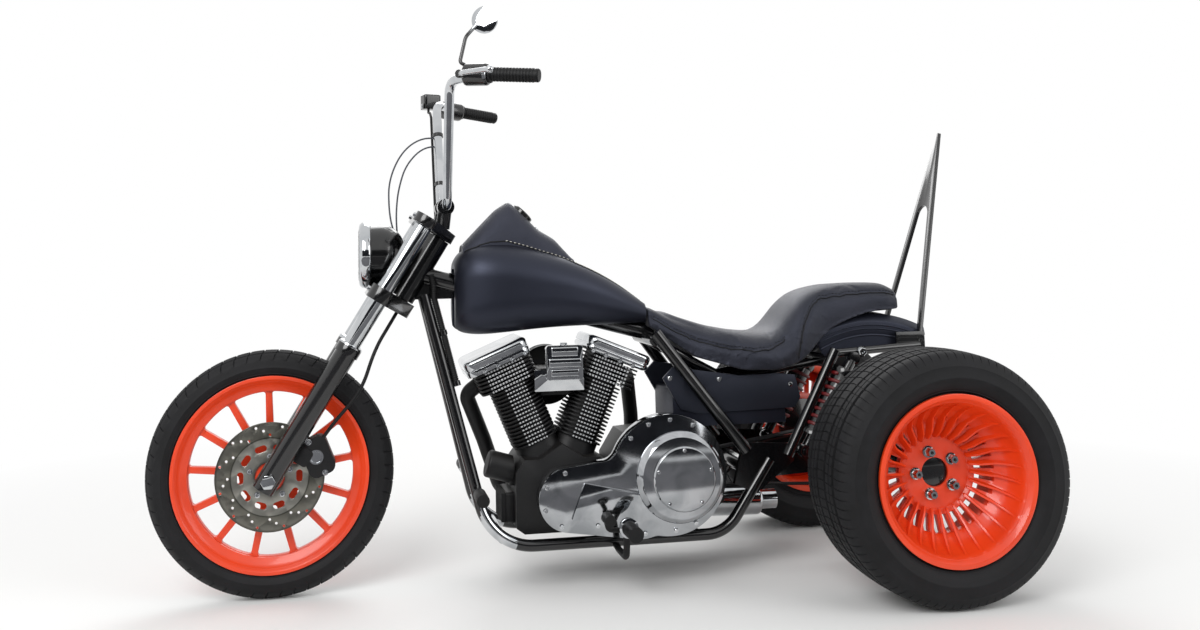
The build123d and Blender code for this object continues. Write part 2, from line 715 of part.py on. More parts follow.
with BuildPart() as silencer:
    with BuildSketch(Plane(origin=at(900, 204, 150), x_dir=(0, 1, 0), z_dir=(1, 0, -0.02))):
        Circle(46)
    extrude(amount=590)
    fillet(silencer.edges(), 14)
    with BuildSketch(Plane(origin=at(1480, 204, 138.4), x_dir=(0, 1, 0), z_dir=(1, 0, -0.02))):
        Circle(30)
    extrude(amount=60)
    with BuildSketch(Plane(origin=at(1500, 204, 138), x_dir=(0, 1, 0), z_dir=(1, 0, -0.02))):
        Circle(26)
    extrude(amount=60, mode=Mode.SUBTRACT)
    with BuildSketch(Plane.XY.offset(120)):
        with Locations((along(1180), 160)):
            Rectangle(40, 60)
    extrude(amount=14)
    add(exhaust_pipes.part, mode=Mode.SUBTRACT)
    add(frame_cradle.part, mode=Mode.SUBTRACT)
save(silencer, "silencer")

# Fuel tank lofted through rounded stations, with a tunnel over the backbone
tank_stations = [(510, 716, 902, 74, 60), (556, 700, 946, 128, 88), (700, 706, 948, 146, 100),
                 (850, 714, 902, 126, 80), (1000, 716, 820, 84, 46), (1070, 716, 772, 56, 26)]
with BuildPart() as fuel_tank:
    for behind, bottom, top, half_width, corner in tank_stations:
        with BuildSketch(Plane(origin=at(behind, 0, (bottom + top) / 2), x_dir=(0, 1, 0), z_dir=(1, 0, 0))):
            RectangleRounded(2 * half_width, top - bottom, corner)
    loft()
    with BuildSketch(Plane.XZ):
        Polygon(*side_view([(490, 640), (490, 890), (560, 872), (1000, 752), (1090, 736), (1090, 640)]),
                align=None)
    extrude(amount=tunnel_half_width, both=True, mode=Mode.SUBTRACT)
    add(frame_spine.part, mode=Mode.SUBTRACT)
    for rocker_box in rocker_boxes:
        add(rocker_box.part, mode=Mode.SUBTRACT)
save(fuel_tank, "fuel_tank")

console_stations = [(534, 950, 66, 24), (586, 1004, 82, 48), (636, 1054, 80, 60), (674, 1077, 74, 60),
                    (706, 1050, 74, 58), (756, 996, 74, 46), (806, 966, 68, 32), (860, 905, 52, 5)]
console_foot = 893
with BuildPart() as console:
    for behind, top, half_width, corner in console_stations:
        middle = at(behind, 0, (console_foot + top) / 2)
        with BuildSketch(Plane(origin=middle, x_dir=(0, 1, 0), z_dir=(1, 0, 0))):
            RectangleRounded(2 * half_width, top - console_foot, corner)
    loft(ruled=True)
    add(fuel_tank.part, mode=Mode.SUBTRACT)
save(console, "console")

# Seat: side outline meets plan outline, hollowed over the rails and the fender
fender_start = Plane(origin=(rear_axle_x, 0, fender_height), x_dir=(cos(radians(62)), 0, sin(radians(62))),
                     z_dir=(-sin(radians(62)), 0, cos(radians(62))))
with BuildPart() as rear_fender:
    with BuildSketch(fender_start):
        Polygon((334, -105), (378, -105), (400, -80), (404, 0), (400, 80), (378, 105), (334, 105), (334, 101),
                (377, 101), (397, 78), (400, 0), (397, -78), (377, -101), (334, -101), align=None)
    revolve(axis=Axis((rear_axle_x, 0, fender_height), (0, -1, 0)), revolution_arc=56)
save(rear_fender, "rear_fender")

seat_side = [(1078, 772), (1160, 728), (1250, 702), (1340, 684), (1412, 677), (1460, 695), (1500, 742),
             (1534, 780), (1572, 799), (1640, 813), (1734, 816), (1838, 806), (1850, 790), (1826, 742),
             (1740, 724), (1672, 690), (1610, 628), (1511, 598), (1434, 573), (1330, 576), (1199, 614),
             (1120, 672), (1072, 706)]
seat_plan = [(1070, 58), (1140, 92), (1240, 132), (1350, 160), (1440, 164), (1520, 150), (1590, 126),
             (1700, 118), (1850, 112)]
with BuildPart() as seat:
    with BuildSketch(Plane.XZ):
        Polygon(*side_view(seat_side), align=None)
    extrude(amount=200, both=True)
    with BuildSketch(Plane.XY.offset(500)):
        Polygon(*[(along(behind), -half) for behind, half in seat_plan],
                *[(along(behind), half) for behind, half in reversed(seat_plan)], align=None)
    extrude(amount=400, mode=Mode.INTERSECT)
    with BuildSketch(Plane.XZ):
        with Locations((rear_axle_x, fender_height)):
            Circle(404.5)
    extrude(amount=106, both=True, mode=Mode.SUBTRACT)
    add(frame_spine.part, mode=Mode.SUBTRACT)
    add(frame_cradle.part, mode=Mode.SUBTRACT)
    add(fuel_tank.part, mode=Mode.SUBTRACT)
save(seat, "seat")

with BuildPart() as side_covers:
    for across in (-104, 94):
        with BuildSketch(Plane.XZ.offset(-across - 10)):
            Polygon(*side_view([(1100, 560), (1150, 470), (1200, 457), (1496, 462), (1514, 490), (1500, 556),
                                (1440, 562), (1330, 560), (1200, 580), (1130, 590)]), align=None)
        extrude(amount=10)
    add(frame_cradle.part, mode=Mode.SUBTRACT)
    add(seat.part, mode=Mode.SUBTRACT)
save(side_covers, "side_covers")

with BuildPart() as battery_box:
    with BuildSketch(Plane.XZ.offset(-94)):
        Polygon(*side_view([(1130, 420), (1130, 525), (1440, 525), (1470, 480), (1470, 420)]), align=None)
    extrude(amount=188)
    add(frame_spine.part, mode=Mode.SUBTRACT)
save(battery_box, "battery_box")

# Backrest bar: two flat legs that meet in a closed point
lean_back = radians(15)
backrest_plane = Plane(origin=at(1884, 0, 624), x_dir=(0, 1, 0), z_dir=(cos(lean_back), 0, -sin(lean_back)))
with BuildPart() as backrest:
    with BuildSketch(backrest_plane):
        Polygon((-130, 0), (130, 0), (6, 676), (-6, 676), align=None)
        with BuildLine():
            Polyline((-112, 0), (-34, 410))
            ThreePointArc((-34, 410), (0, 440), (34, 410))
            Polyline((34, 410), (112, 0), (-112, 0))
        make_face(mode=Mode.SUBTRACT)
    extrude(amount=5, both=True)
    add(frame_cradle.part, mode=Mode.SUBTRACT)
    add(rear_fender.part, mode=Mode.SUBTRACT)
    with BuildSketch(Plane.XY.offset(600)):
        with Locations((along(1860), 120), (along(1860), -120)):
            Rectangle(90, 8)
    extrude(amount=70)
    add(frame_cradle.part, mode=Mode.SUBTRACT)
save(backrest, "backrest")

with BuildPart() as tail_lamp:
    with BuildSketch(Plane(origin=at(1888, 0, 664), x_dir=(0, 1, 0), z_dir=(1, 0, 0))):
        RectangleRounded(110, 76, 20)
    extrude(amount=36)
    with BuildSketch(Plane.XZ):
        with Locations((rear_axle_x, fender_height)):
            Circle(400)
    extrude(amount=60, both=True, mode=Mode.INTERSECT)
    add(rear_fender.part, mode=Mode.SUBTRACT)
    add(backrest.part, mode=Mode.SUBTRACT)
save(tail_lamp, "tail_lamp")

# Pegs and levers
with BuildPart() as highway_pegs:
    for across in (-1, 1):
        add(straight_tube(at(556, across * 128, 284), at(556, across * 196, 284), 9))
        add(straight_tube(at(556, across * 196, 284), at(556, across * 282, 284), 17))
    add(frame_cradle.part, mode=Mode.SUBTRACT)
save(highway_pegs, "highway_pegs")

foot_peg_radius = 20
foot_boss_radius = 26
toe_peg_radius = 15
with BuildPart() as foot_controls:
    for across, arm_height in ((-1, 112), (1, 88)):
        add(bent_tube([at(940, across * 138, 118), at(940, across * 176, arm_height),
                       at(940, across * 258, arm_height), at(940, across * 276, 196),
                       at(940, across * 292, 196)], (20, 20, 10), 9))
        add(straight_tube(at(940, across * 284, 196), at(940, across * 298, 196), foot_boss_radius))
        add(straight_tube(at(940, across * 298, 196), at(940, across * 372, 196), foot_peg_radius))
    add(bent_tube([at(940, -272, 186), at(890, -272, 190), at(880, -272, 228), at(880, -330, 228)], 12, 7))
    add(straight_tube(at(880, -296, 228), at(880, -344, 228), toe_peg_radius))
    add(bent_tube([at(940, 272, 186), at(820, 272, 186), at(790, 272, 226), at(790, 330, 226)], 12, 8))
    add(straight_tube(at(790, 292, 226), at(790, 346, 226), toe_peg_radius))
    add(frame_cradle.part, mode=Mode.SUBTRACT)
    add(silencer.part, mode=Mode.SUBTRACT)
save(foot_controls, "foot_controls")
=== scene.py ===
from math import copysign, cos, exp, pi, radians, sin
import bpy
from mathutils.bvhtree import BVHTree
from mathutils.kdtree import KDTree
from mathutils import Matrix, Vector


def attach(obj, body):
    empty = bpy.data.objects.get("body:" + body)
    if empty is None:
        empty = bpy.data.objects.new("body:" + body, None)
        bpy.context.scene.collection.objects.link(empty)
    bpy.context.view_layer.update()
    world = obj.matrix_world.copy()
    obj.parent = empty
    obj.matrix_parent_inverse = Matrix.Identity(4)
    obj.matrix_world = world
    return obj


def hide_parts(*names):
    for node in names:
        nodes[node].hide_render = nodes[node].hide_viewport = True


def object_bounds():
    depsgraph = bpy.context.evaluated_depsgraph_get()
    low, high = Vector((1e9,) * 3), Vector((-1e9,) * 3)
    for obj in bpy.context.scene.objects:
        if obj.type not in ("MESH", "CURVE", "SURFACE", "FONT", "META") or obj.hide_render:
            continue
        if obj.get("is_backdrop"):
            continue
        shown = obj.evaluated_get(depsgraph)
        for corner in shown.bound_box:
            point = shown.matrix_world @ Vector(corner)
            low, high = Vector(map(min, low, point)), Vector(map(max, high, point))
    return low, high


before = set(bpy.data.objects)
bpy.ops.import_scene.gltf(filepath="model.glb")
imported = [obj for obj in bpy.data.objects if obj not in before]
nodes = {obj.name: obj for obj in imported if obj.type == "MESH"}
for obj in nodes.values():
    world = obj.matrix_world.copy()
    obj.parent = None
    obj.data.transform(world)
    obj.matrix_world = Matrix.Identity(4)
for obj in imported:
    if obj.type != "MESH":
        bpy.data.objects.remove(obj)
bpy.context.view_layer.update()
scene = bpy.context.scene
scene.view_settings.view_transform = "Standard"
print("frame loaded, nodes:", len(nodes))

# the part's own frame in metres: x runs to the rear, y to the rider's right, z up
frontAxleX = -0.865
rearAxleX = 0.875
frontRadius = 0.336
rearRadius = 0.326
halfTrack = 0.45
rake = radians(32)
rearBehind = (rearAxleX - frontAxleX) * 1000      # millimetres from axle to axle
bothSides = ((-1, "Left"), (1, "Right"))


def linear(hexColour):
    values = [int(hexColour[i:i + 2], 16) / 255 for i in (1, 3, 5)]
    return [v / 12.92 if v <= 0.04045 else ((v + 0.055) / 1.055) ** 2.4 for v in values] + [1.0]


def addNode(tree, kind, settings=None, links=None):
    node = tree.nodes.new("ShaderNode" + kind)
    for key, value in (settings or {}).items():
        if isinstance(key, int) or key in node.inputs:
            node.inputs[key].default_value = value
        else:
            setattr(node, key, value)
    for key, source in (links or {}).items():
        tree.links.new(source[0].outputs[source[1]], node.inputs[key])
    return node


def newMaterial(name):
    material = bpy.data.materials.new(name)
    material.use_nodes = True
    tree = material.node_tree
    return material, tree, tree.nodes["Principled BSDF"]


def setRamp(node, stops):
    ramp = node.color_ramp
    while len(ramp.elements) < len(stops):
        ramp.elements.new(0.5)
    for element, (place, colour) in zip(ramp.elements, stops):
        element.position = place
        element.color = linear(colour)


def setShader(tree, shader, sources, values):
    # what drives the shader's inputs, as (node, output), and what is the same all over
    for key, (node, output) in sources.items():
        tree.links.new(node.outputs[output], shader.inputs[key])
    for key, value in values.items():
        shader.inputs[key].default_value = value


def sprayedPaint(name, base, shade, roughness, coat, peel=0.02, dust="#6d675e", dustShare=0.0,
                 shine=0.5, paintedSkyTint="#FFFFFF"):
    # a tone that drifts over some 170 mm, orange peel 3 mm apart in the gloss, and dust on what faces up
    material, tree, shader = newMaterial(name)
    place = {"Vector": (addNode(tree, "TexCoord"), "Object")}
    drift = addNode(tree, "TexNoise", {"Scale": 6.0, "Detail": 3.0}, place)
    tone = addNode(tree, "ValToRGB", links={"Fac": (drift, "Fac")})
    setRamp(tone, [(0.3, shade), (0.7, base)])
    colour = (tone, "Color")
    if dustShare:
        facing = addNode(tree, "NewGeometry")
        split = addNode(tree, "SeparateXYZ", links={0: (facing, "Normal")})
        grime = addNode(tree, "TexNoise", {"Scale": 1000 / 25, "Detail": 4.0}, place)
        up = addNode(tree, "MapRange", {1: 0.2, 2: 1.0, 3: 0.0, 4: dustShare}, {0: (split, "Z")})
        share = addNode(tree, "Math", {"operation": "MULTIPLY"}, {0: (up, 0), 1: (grime, "Fac")})
        mix = addNode(tree, "Mix", {"data_type": "RGBA", 7: linear(dust)}, {0: (share, 0), 6: colour})
        colour = (mix, 2)
    peelNoise = addNode(tree, "TexNoise", {"Scale": 1000 / 3.0, "Detail": 1.0}, place)
    gloss = addNode(tree, "MapRange", {3: roughness * 0.85, 4: roughness * 1.2}, {0: (peelNoise, "Fac")})
    bump = addNode(tree, "Bump", {"Strength": peel, "Distance": 0.001}, {"Height": (peelNoise, "Fac")})
    setShader(tree, shader, {"Base Color": colour, "Roughness": (gloss, 0), "Normal": (bump, 0)},
              # the specular tint colours the highlights; a bluish one is a painted reflection of the sky
              {"Coat Weight": coat, "Coat Roughness": 0.06, "Specular IOR Level": shine,
               "Specular Tint": linear(paintedSkyTint)})
    return material


def platedMetal(name, bright, dull, roughness, streak):
    # mirror-like, with wipe marks some 70 mm long and a grain of 2.5 mm, drawn coarse so that it shows
    material, tree, shader = newMaterial(name)
    place = {"Vector": (addNode(tree, "TexCoord"), "Object")}
    wipes = addNode(tree, "TexNoise", {"Scale": 14.0, "Detail": 5.0, "Distortion": 0.6}, place)
    tone = addNode(tree, "ValToRGB", links={"Fac": (wipes, "Fac")})
    setRamp(tone, [(0.35, dull), (0.6, bright)])
    gloss = addNode(tree, "MapRange", {3: roughness * 0.6, 4: roughness * 1.6}, {0: (wipes, "Fac")})
    fine = addNode(tree, "TexNoise", {"Scale": 1000 / 2.5, "Detail": 2.0}, place)
    bump = addNode(tree, "Bump", {"Strength": streak, "Distance": 0.0004}, {"Height": (fine, "Fac")})
    setShader(tree, shader, {"Base Color": (tone, 0), "Roughness": (gloss, 0), "Normal": (bump, 0)},
              {"Metallic": 1.0})
    return material


def mouldedRubber(name, base, worn, roughness):
    # dull, greyed in patches of some 55 mm where it is rubbed; grit of 1.6 mm, drawn coarse so that it shows
    material, tree, shader = newMaterial(name)
    place = {"Vector": (addNode(tree, "TexCoord"), "Object")}
    rub = addNode(tree, "TexNoise", {"Scale": 18.0, "Detail": 6.0, "Roughness": 0.65}, place)
    tone = addNode(tree, "ValToRGB", links={"Fac": (rub, "Fac")})
    setRamp(tone, [(0.4, base), (0.75, worn)])
    fine = addNode(tree, "TexNoise", {"Scale": 1000 / 1.6, "Detail": 3.0}, place)
    gloss = addNode(tree, "MapRange", {3: roughness * 0.88, 4: min(1.0, roughness * 1.15)},
                    {0: (rub, "Fac")})
    bump = addNode(tree, "Bump", {"Strength": 0.25, "Distance": 0.0006}, {"Height": (fine, "Fac")})
    setShader(tree, shader, {"Base Color": (tone, 0), "Roughness": (gloss, 0), "Normal": (bump, 0)},
              {"Specular IOR Level": 0.3})
    return material


def grainedLeather(name, base, worn, cell, roughness):
    # pebbles of one cell's width in millimetres, creases between them and a dull sheen, tinted blue as a
    # painted reflection of the sky
    material, tree, shader = newMaterial(name)
    place = {"Vector": (addNode(tree, "TexCoord"), "Object")}
    pebble = addNode(tree, "TexVoronoi", {"Scale": 1000 / cell, "feature": "DISTANCE_TO_EDGE"}, place)
    wear = addNode(tree, "TexNoise", {"Scale": 9.0, "Detail": 5.0}, place)
    tone = addNode(tree, "ValToRGB", links={"Fac": (wear, "Fac")})
    setRamp(tone, [(0.35, base), (0.75, worn)])
    crease = addNode(tree, "MapRange", {1: 0.0, 2: 0.25, 3: 0.0, 4: 1.0}, {0: (pebble, "Distance")})
    gloss = addNode(tree, "MapRange", {3: roughness * 1.25, 4: roughness * 0.9}, {0: (crease, 0)})
    bump = addNode(tree, "Bump", {"Strength": 0.35, "Distance": 0.0008}, {"Height": (crease, 0)})
    setShader(tree, shader, {"Base Color": (tone, 0), "Roughness": (gloss, 0), "Normal": (bump, 0)},
              {"Sheen Weight": 0.08, "Specular IOR Level": 0.5, "Specular Tint": linear("#DCE3FF")})
    return material


# baked enamel on the wheels: a strong colour, half gloss, a little dust on the ledges
orangeEnamel = sprayedPaint("orangeEnamel", "#E5400E", "#D6380B", 0.38, 0.3, dust="#7a4a30", dustShare=0.12)
# glossy enamel on frame and fork: deep black with sharp highlights
blackEnamel = sprayedPaint("blackEnamel", "#0a0a0c", "#060607", 0.2, 0.5)
# flat lacquer on tank and fender: a broad soft sheen, tinted blue as a painted reflection of the sky
mattBlackPaint = sprayedPaint("mattBlackPaint", "#12131a", "#0d0e14", 0.44, 0.0, peel=0.05, shine=0.6,
                              paintedSkyTint="#D6DFFF")
# moulded ABS side covers: a lighter black with an even grain, and a bluish tint in the highlights that is a
# painted reflection of the sky
satinPlastic = sprayedPaint("satinPlastic", "#1d1f26", "#181a20", 0.42, 0.0, peel=0.12, paintedSkyTint="#DDE4FF")
# heat-proof paint on castings: dull and gritty, dusty on top
engineBlack = sprayedPaint("engineBlack", "#0e0e10", "#09090a", 0.5, 0.0, peel=0.25, dust="#4b463f",
                           dustShare=0.15, shine=0.35)
# bright chrome: close to a mirror
chromePlate = platedMetal("chromePlate", "#C8CACC", "#B4B7BA", 0.06, 0.02)
# buffed aluminium: a softer mirror with fine marks
polishedAlloy = platedMetal("polishedAlloy", "#D2D4D6", "#B8BBBE", 0.11, 0.05)
# chrome greyed in its own colour, a painted dark reflection of the ground, with wipe marks
darkReflectionChrome = platedMetal("darkReflectionChrome", "#B6B8BB", "#989B9E", 0.08, 0.04)
# vulcanised tyre rubber: matt, nearly black, greyed by wear
tyreRubber = mouldedRubber("tyreRubber", "#0d0d0f", "#18181b", 0.66)
# moulded rubber of grips, pegs, hoses and piping: black, slightly shiny
blackRubber = mouldedRubber("blackRubber", "#0a0a0b", "#131315", 0.55)
# dyed cow hide on the seat: soft highlights broken by the pebbles
seatLeather = grainedLeather("seatLeather", "#0e0f13", "#19191f", 3.2, 0.42)
# drier hide on the console: paler and flatter than the seat
consoleLeather = grainedLeather("consoleLeather", "#1b1c23", "#292a31", 2.4, 0.5)
# powder-coated spring steel: red, darkened in its colour as painted shade, half gloss
springRed = sprayedPaint("springRed", "#6E0D12", "#4E090D", 0.42, 0.1)
# waxed linen thread: pale and dull against the leather
waxedThread = mouldedRubber("waxedThread", "#B9B7B0", "#97958E", 0.7)
# extruded vinyl on the control cables: dark grey with a soft highlight
cableVinyl = mouldedRubber("cableVinyl", "#3B3E44", "#4A4D53", 0.45)

# fins: foot of the bores, where the heads begin, half widths just inside the rims, and the facets' pitch
finRims = {"foot": (frontAxleX + 0.8, 0, 0.245), "headFrom": 0.334, "barrelHalf": 0.0756, "headHalf": 0.0856,
           "facet": 0.0092, "bright": "#D8DADC", "lean": 22.5}


def finnedBlack(name, lean):
    # painted barrel whose fin rims were machined bright afterwards: rows of short silver facets on black
    material = sprayedPaint(name, "#0e0e10", "#09090a", 0.5, 0.0, peel=0.25, shine=0.35)
    tree = material.node_tree
    shader = tree.nodes["Principled BSDF"]
    place = {"Vector": (addNode(tree, "TexCoord"), "Object")}
    bore = addNode(tree, "Mapping", {"vector_type": "TEXTURE", "Location": finRims["foot"],
                                               "Rotation": (0, radians(lean), 0)}, place)
    split = addNode(tree, "SeparateXYZ", links={0: (bore, 0)})
    wide = addNode(tree, "Math", {"operation": "ABSOLUTE"}, {0: (split, "Y")})
    high = addNode(tree, "Math", {"operation": "GREATER_THAN", 1: finRims["headFrom"]}, {0: (split, "Z")})
    edge = addNode(tree, "MapRange", {3: finRims["barrelHalf"], 4: finRims["headHalf"]}, {0: (high, 0)})
    rim = addNode(tree, "Math", {"operation": "GREATER_THAN"}, {0: (wide, 0), 1: (edge, 0)})
    run = addNode(tree, "Math", {"operation": "MULTIPLY", 1: 2 * pi / finRims["facet"]},
                  {0: (split, "X")})
    beat = addNode(tree, "Math", {"operation": "SINE"}, {0: (run, 0)})
    facet = addNode(tree, "MapRange", {1: -0.5, 2: 0.1, 3: 0.0, 4: 1.0}, {0: (beat, 0)})
    share = addNode(tree, "Math", {"operation": "MULTIPLY"}, {0: (rim, 0), 1: (facet, 0)})
    paint = shader.inputs["Base Color"].links[0].from_socket
    mix = addNode(tree, "Mix", {"data_type": "RGBA", 7: linear(finRims["bright"])}, {0: (share, 0)})
    tree.links.new(paint, mix.inputs[6])
    setShader(tree, shader, {"Base Color": (mix, 2), "Metallic": (share, 0)}, {})
    return material


frontFins = finnedBlack("frontFins", -finRims["lean"])
rearFins = finnedBlack("rearFins", finRims["lean"])
print("materials made")

# pressed borosilicate glass: clear, with flutes some 18 mm apart that break up what is behind
fluteWidth = 0.017756      # metres, where the node draws a band to every pi / 10 of scaled length
lampGlass, tree, shader = newMaterial("lampGlass")
place = {"Vector": (addNode(tree, "TexCoord"), "Object")}
flute = addNode(tree, "TexWave", {"Scale": pi / 10 / fluteWidth, "bands_direction": "Y"}, place)
bump = addNode(tree, "Bump", {"Strength": 0.4, "Distance": 0.002}, {"Height": (flute, "Fac")})
setShader(tree, shader, {"Normal": (bump, 0)}, {"Base Color": linear("#F4F8FA"), "Roughness": 0.04,
                                                "Transmission Weight": 1.0, "IOR": 1.47})

# moulded acrylic, dyed red: half clear, with 5 mm prisms that glitter
redLens, tree, shader = newMaterial("redLens")
place = {"Vector": (addNode(tree, "TexCoord"), "Object")}
prism = addNode(tree, "TexVoronoi", {"Scale": 1000 / 5.0}, place)
bump = addNode(tree, "Bump", {"Strength": 0.3, "Distance": 0.001}, {"Height": (prism, "Distance")})
setShader(tree, shader, {"Normal": (bump, 0)}, {"Base Color": linear("#A30A0E"), "Roughness": 0.12,
                                                "Transmission Weight": 0.35, "IOR": 1.49})

# brake disc: turned steel outside and a paler cast carrier inside, told apart by the distance from the axle
# perMetre brings the disc's edge near 1, turning gives rings 1.1 mm apart, drawn coarse so that they show
discLook = {"perMetre": 6.8, "turning": 820.0}
discStops = [(0.60, "#9A9992"), (0.69, "#93928B"), (0.705, "#45443F"), (0.73, "#6F6E66"), (0.94, "#787770"),
             (0.98, "#55544E")]
discSteel, tree, shader = newMaterial("discSteel")
place = {"Vector": (addNode(tree, "TexCoord"), "Object")}
offset = addNode(tree, "VectorMath", {"operation": "SUBTRACT", 1: (frontAxleX, 0, frontRadius)},
                 {0: place["Vector"]})
scale = discLook["perMetre"]
flat = addNode(tree, "VectorMath", {"operation": "MULTIPLY", 1: (scale, 0, scale)}, {0: (offset, "Vector")})
reach = addNode(tree, "VectorMath", {"operation": "LENGTH"}, {0: (flat, "Vector")})
tone = addNode(tree, "ValToRGB", links={"Fac": (reach, "Value")})
setRamp(tone, discStops)
phase = addNode(tree, "Math", {"operation": "MULTIPLY", 1: discLook["turning"]}, {0: (reach, "Value")})
turned = addNode(tree, "Math", {"operation": "SINE"}, {0: (phase, 0)})
bump = addNode(tree, "Bump", {"Strength": 0.12, "Distance": 0.0002}, {"Height": (turned, 0)})
setShader(tree, shader, {"Base Color": (tone, 0), "Normal": (bump, 0)}, {"Metallic": 1.0, "Roughness": 0.34})

finishes = (
    (orangeEnamel, "front_wheel rear_wheel_left rear_wheel_right"),
    (tyreRubber, "front_tyre rear_tyre_left rear_tyre_right"),
    (discSteel, "front_disc"),
    (chromePlate, "front_axle fork_tubes handlebar mirror coil_cover pushrod_tubes silencer"),
    (darkReflectionChrome, "clutch_cover primary_cover"),
    (polishedAlloy, "timing_cover front_rocker_box rear_rocker_box"),
    (blackEnamel, "rear_hub_left rear_hub_right fork_sliders lower_yoke upper_yoke risers headlamp "
                  "frame_spine frame_cradle swing_arm axle_housing shocks backrest "
                  "left_control right_control"),
    (engineBlack, "exhaust_pipes crankcase gearbox oil_filter regulator air_cleaner caliper"),
    (mattBlackPaint, "fuel_tank rear_fender battery_box"),
    (satinPlastic, "side_covers"),
    (frontFins, "front_cylinder"),
    (rearFins, "rear_cylinder"),
    (blackRubber, "grips brake_hose drive_belt highway_pegs foot_controls"),
    (seatLeather, "seat"),
    (consoleLeather, "console"),
    (lampGlass, "headlamp_glass"),
    (redLens, "tail_lamp"),
)
finish = {name: material for material, names in finishes for name in names.split()}


def splitEdges(obj, degrees):
    # crisp shading where faces meet at more than this angle
    split = obj.modifiers.new("split", "EDGE_SPLIT")
    split.split_angle = radians(degrees)


def roundEdges(obj, width, segments):
    rounding = obj.modifiers.new("rounding", "BEVEL")
    rounding.width = width
    rounding.segments = segments
    rounding.limit_method = "ANGLE"
    rounding.angle_limit = radians(38)
    rounding.use_clamp_overlap = True


edgeRound = {"usual": 0.0012, "frame_cradle": 0.0, "frame_spine": 0.0, "front_cylinder": 0.0006,
             "rear_cylinder": 0.0006}
for name, node in nodes.items():
    node.data.materials.clear()
    node.data.materials.append(finish[name])
    for face in node.data.polygons:
        face.use_smooth = True
        face.material_index = 0
    weld = node.modifiers.new("weld", "WELD")
    weld.merge_threshold = 0.00002
    width = edgeRound.get(name, edgeRound["usual"])
    if width:
        roundEdges(node, width, 2)
    splitEdges(node, 34)


def mmAt(behind, across, height):
    # a place in millimetres behind the front axle, across to the right and up
    return Vector((frontAxleX + behind / 1000, across / 1000, height / 1000))


def paintFaces(name, material, test):
    # a second finish on the faces of a CAD piece whose centres pass the test
    mesh = nodes[name].data
    mesh.materials.append(material)
    for face in mesh.polygons:
        if test(face.center):
            face.material_index = len(mesh.materials) - 1


# the mirror's stem, the hand levers, the clamps and bosses of the pegs, and the bare bend of the cradle
mirrorHead = mmAt(580, -330, 1546)
paintFaces("mirror", blackEnamel, lambda c: (c - mirrorHead).length > 0.046)
for name in ("left_control", "right_control"):
    paintFaces(name, chromePlate, lambda c: abs(c.y) > 0.398)
paintFaces("highway_pegs", chromePlate, lambda c: abs(c.y) < 0.2)
pegBehind = frontAxleX + 0.940
paintFaces("foot_controls", chromePlate,
           lambda c: 0.2835 < abs(c.y) < 0.2985 and abs(c.x - pegBehind) < 0.03)
paintFaces("frame_cradle", polishedAlloy, lambda c: -0.300 < c.x < -0.205 and c.z < 0.242)
print("nodes dressed")
plated = (chromePlate, "chrome_plate")      # finish and slot of plated trim


def finishPiece(obj, body, material, smooth=True):
    obj.data.materials.append(material)
    if obj.type == "MESH":
        for face in obj.data.polygons:
            face.use_smooth = smooth
    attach(obj, body)
    return obj


def meshPiece(name, points, faces, body, material, smooth=True):
    mesh = bpy.data.meshes.new(name)
    mesh.from_pydata([tuple(p) for p in points], [], faces)
    mesh.update()
    obj = bpy.data.objects.new(name, mesh)
    scene.collection.objects.link(obj)
    return finishPiece(obj, body, material, smooth)


def ringFaces(rows, count, base=0, startCap=True):
    # faces between rings of points that follow one another, closed at the ends
    faces = []
    for row in range(base, base + (rows - 1) * count, count):
        for k in range(count):
            nextK = (k + 1) % count
            faces.append((row + k, row + nextK, row + count + nextK, row + count + k))
    if startCap:
        faces.append(tuple(reversed(range(base, base + count))))
    last = base + (rows - 1) * count
    faces.append(tuple(range(last, last + count)))
    return faces


def acrossOf(way):
    # two directions square to a line and to each other
    side = way.orthogonal().normalized()
    return side, way.cross(side)


def tubeFaces(points, radius, sides):
    # a round tube swept along points, with one radius or one for each point
    path = [Vector(p) for p in points]
    last = len(path) - 1
    along = [(path[min(i + 1, last)] - path[max(i - 1, 0)]).normalized() for i in range(len(path))]
    side = along[0].orthogonal().normalized()
    verts = []
    for i, (spot, way) in enumerate(zip(path, along)):
        side = (side - way * side.dot(way)).normalized()
        other = way.cross(side)
        size = radius[i] if isinstance(radius, (list, tuple)) else radius
        for k in range(sides):
            turn = 2 * pi * k / sides
            verts.append(spot + side * cos(turn) * size + other * sin(turn) * size)
    return verts, ringFaces(len(path), sides)


def tubePiece(name, points, radius, body, material, sides=12):
    verts, faces = tubeFaces(points, radius, sides)
    return meshPiece(name, verts, faces, body, material)


def lathePiece(name, start, way, profile, body, material, slotName, sides=64):
    # profile of (distance along, radius) in metres, turned about a line
    way = Vector(way).normalized()
    side, other = acrossOf(way)
    verts = []
    for along, radius in profile:
        for k in range(sides):
            turn = 2 * pi * k / sides
            verts.append(Vector(start) + way * along + (side * cos(turn) + other * sin(turn)) * radius)
    obj = meshPiece(name, verts, ringFaces(len(profile), sides), body, material)
    splitEdges(obj, 40)
    return obj


def boltSet(name, heads, body, material, slotName, corners=6):
    # heads of (place, outward direction, radius, height): a washer, then a hexagon or a dome with a dimple
    points = 24
    rings = ((0, 1.25, points), (0.18, 1.25, points), (0.2, 1.0, corners), (0.85, 1.0, corners),
             (1.0, 0.82, corners), (1.0, 0.4, corners), (0.8, 0.3, corners))
    verts, faces = [], []
    for place, way, radius, height in heads:
        way = Vector(way).normalized()
        side, other = acrossOf(way)
        faces += ringFaces(len(rings), points, len(verts), False)
        for along, share, count in rings:
            part = pi / count
            for k in range(points):
                turn = 2 * pi * k / points
                flat = cos(part) / cos(turn % (2 * part) - part) if count < points else 1.0
                spoke = side * cos(turn) + other * sin(turn)
                verts.append(Vector(place) + way * along * height + spoke * radius * share * flat)
    splitEdges(meshPiece(name, verts, faces, body, material), 30)


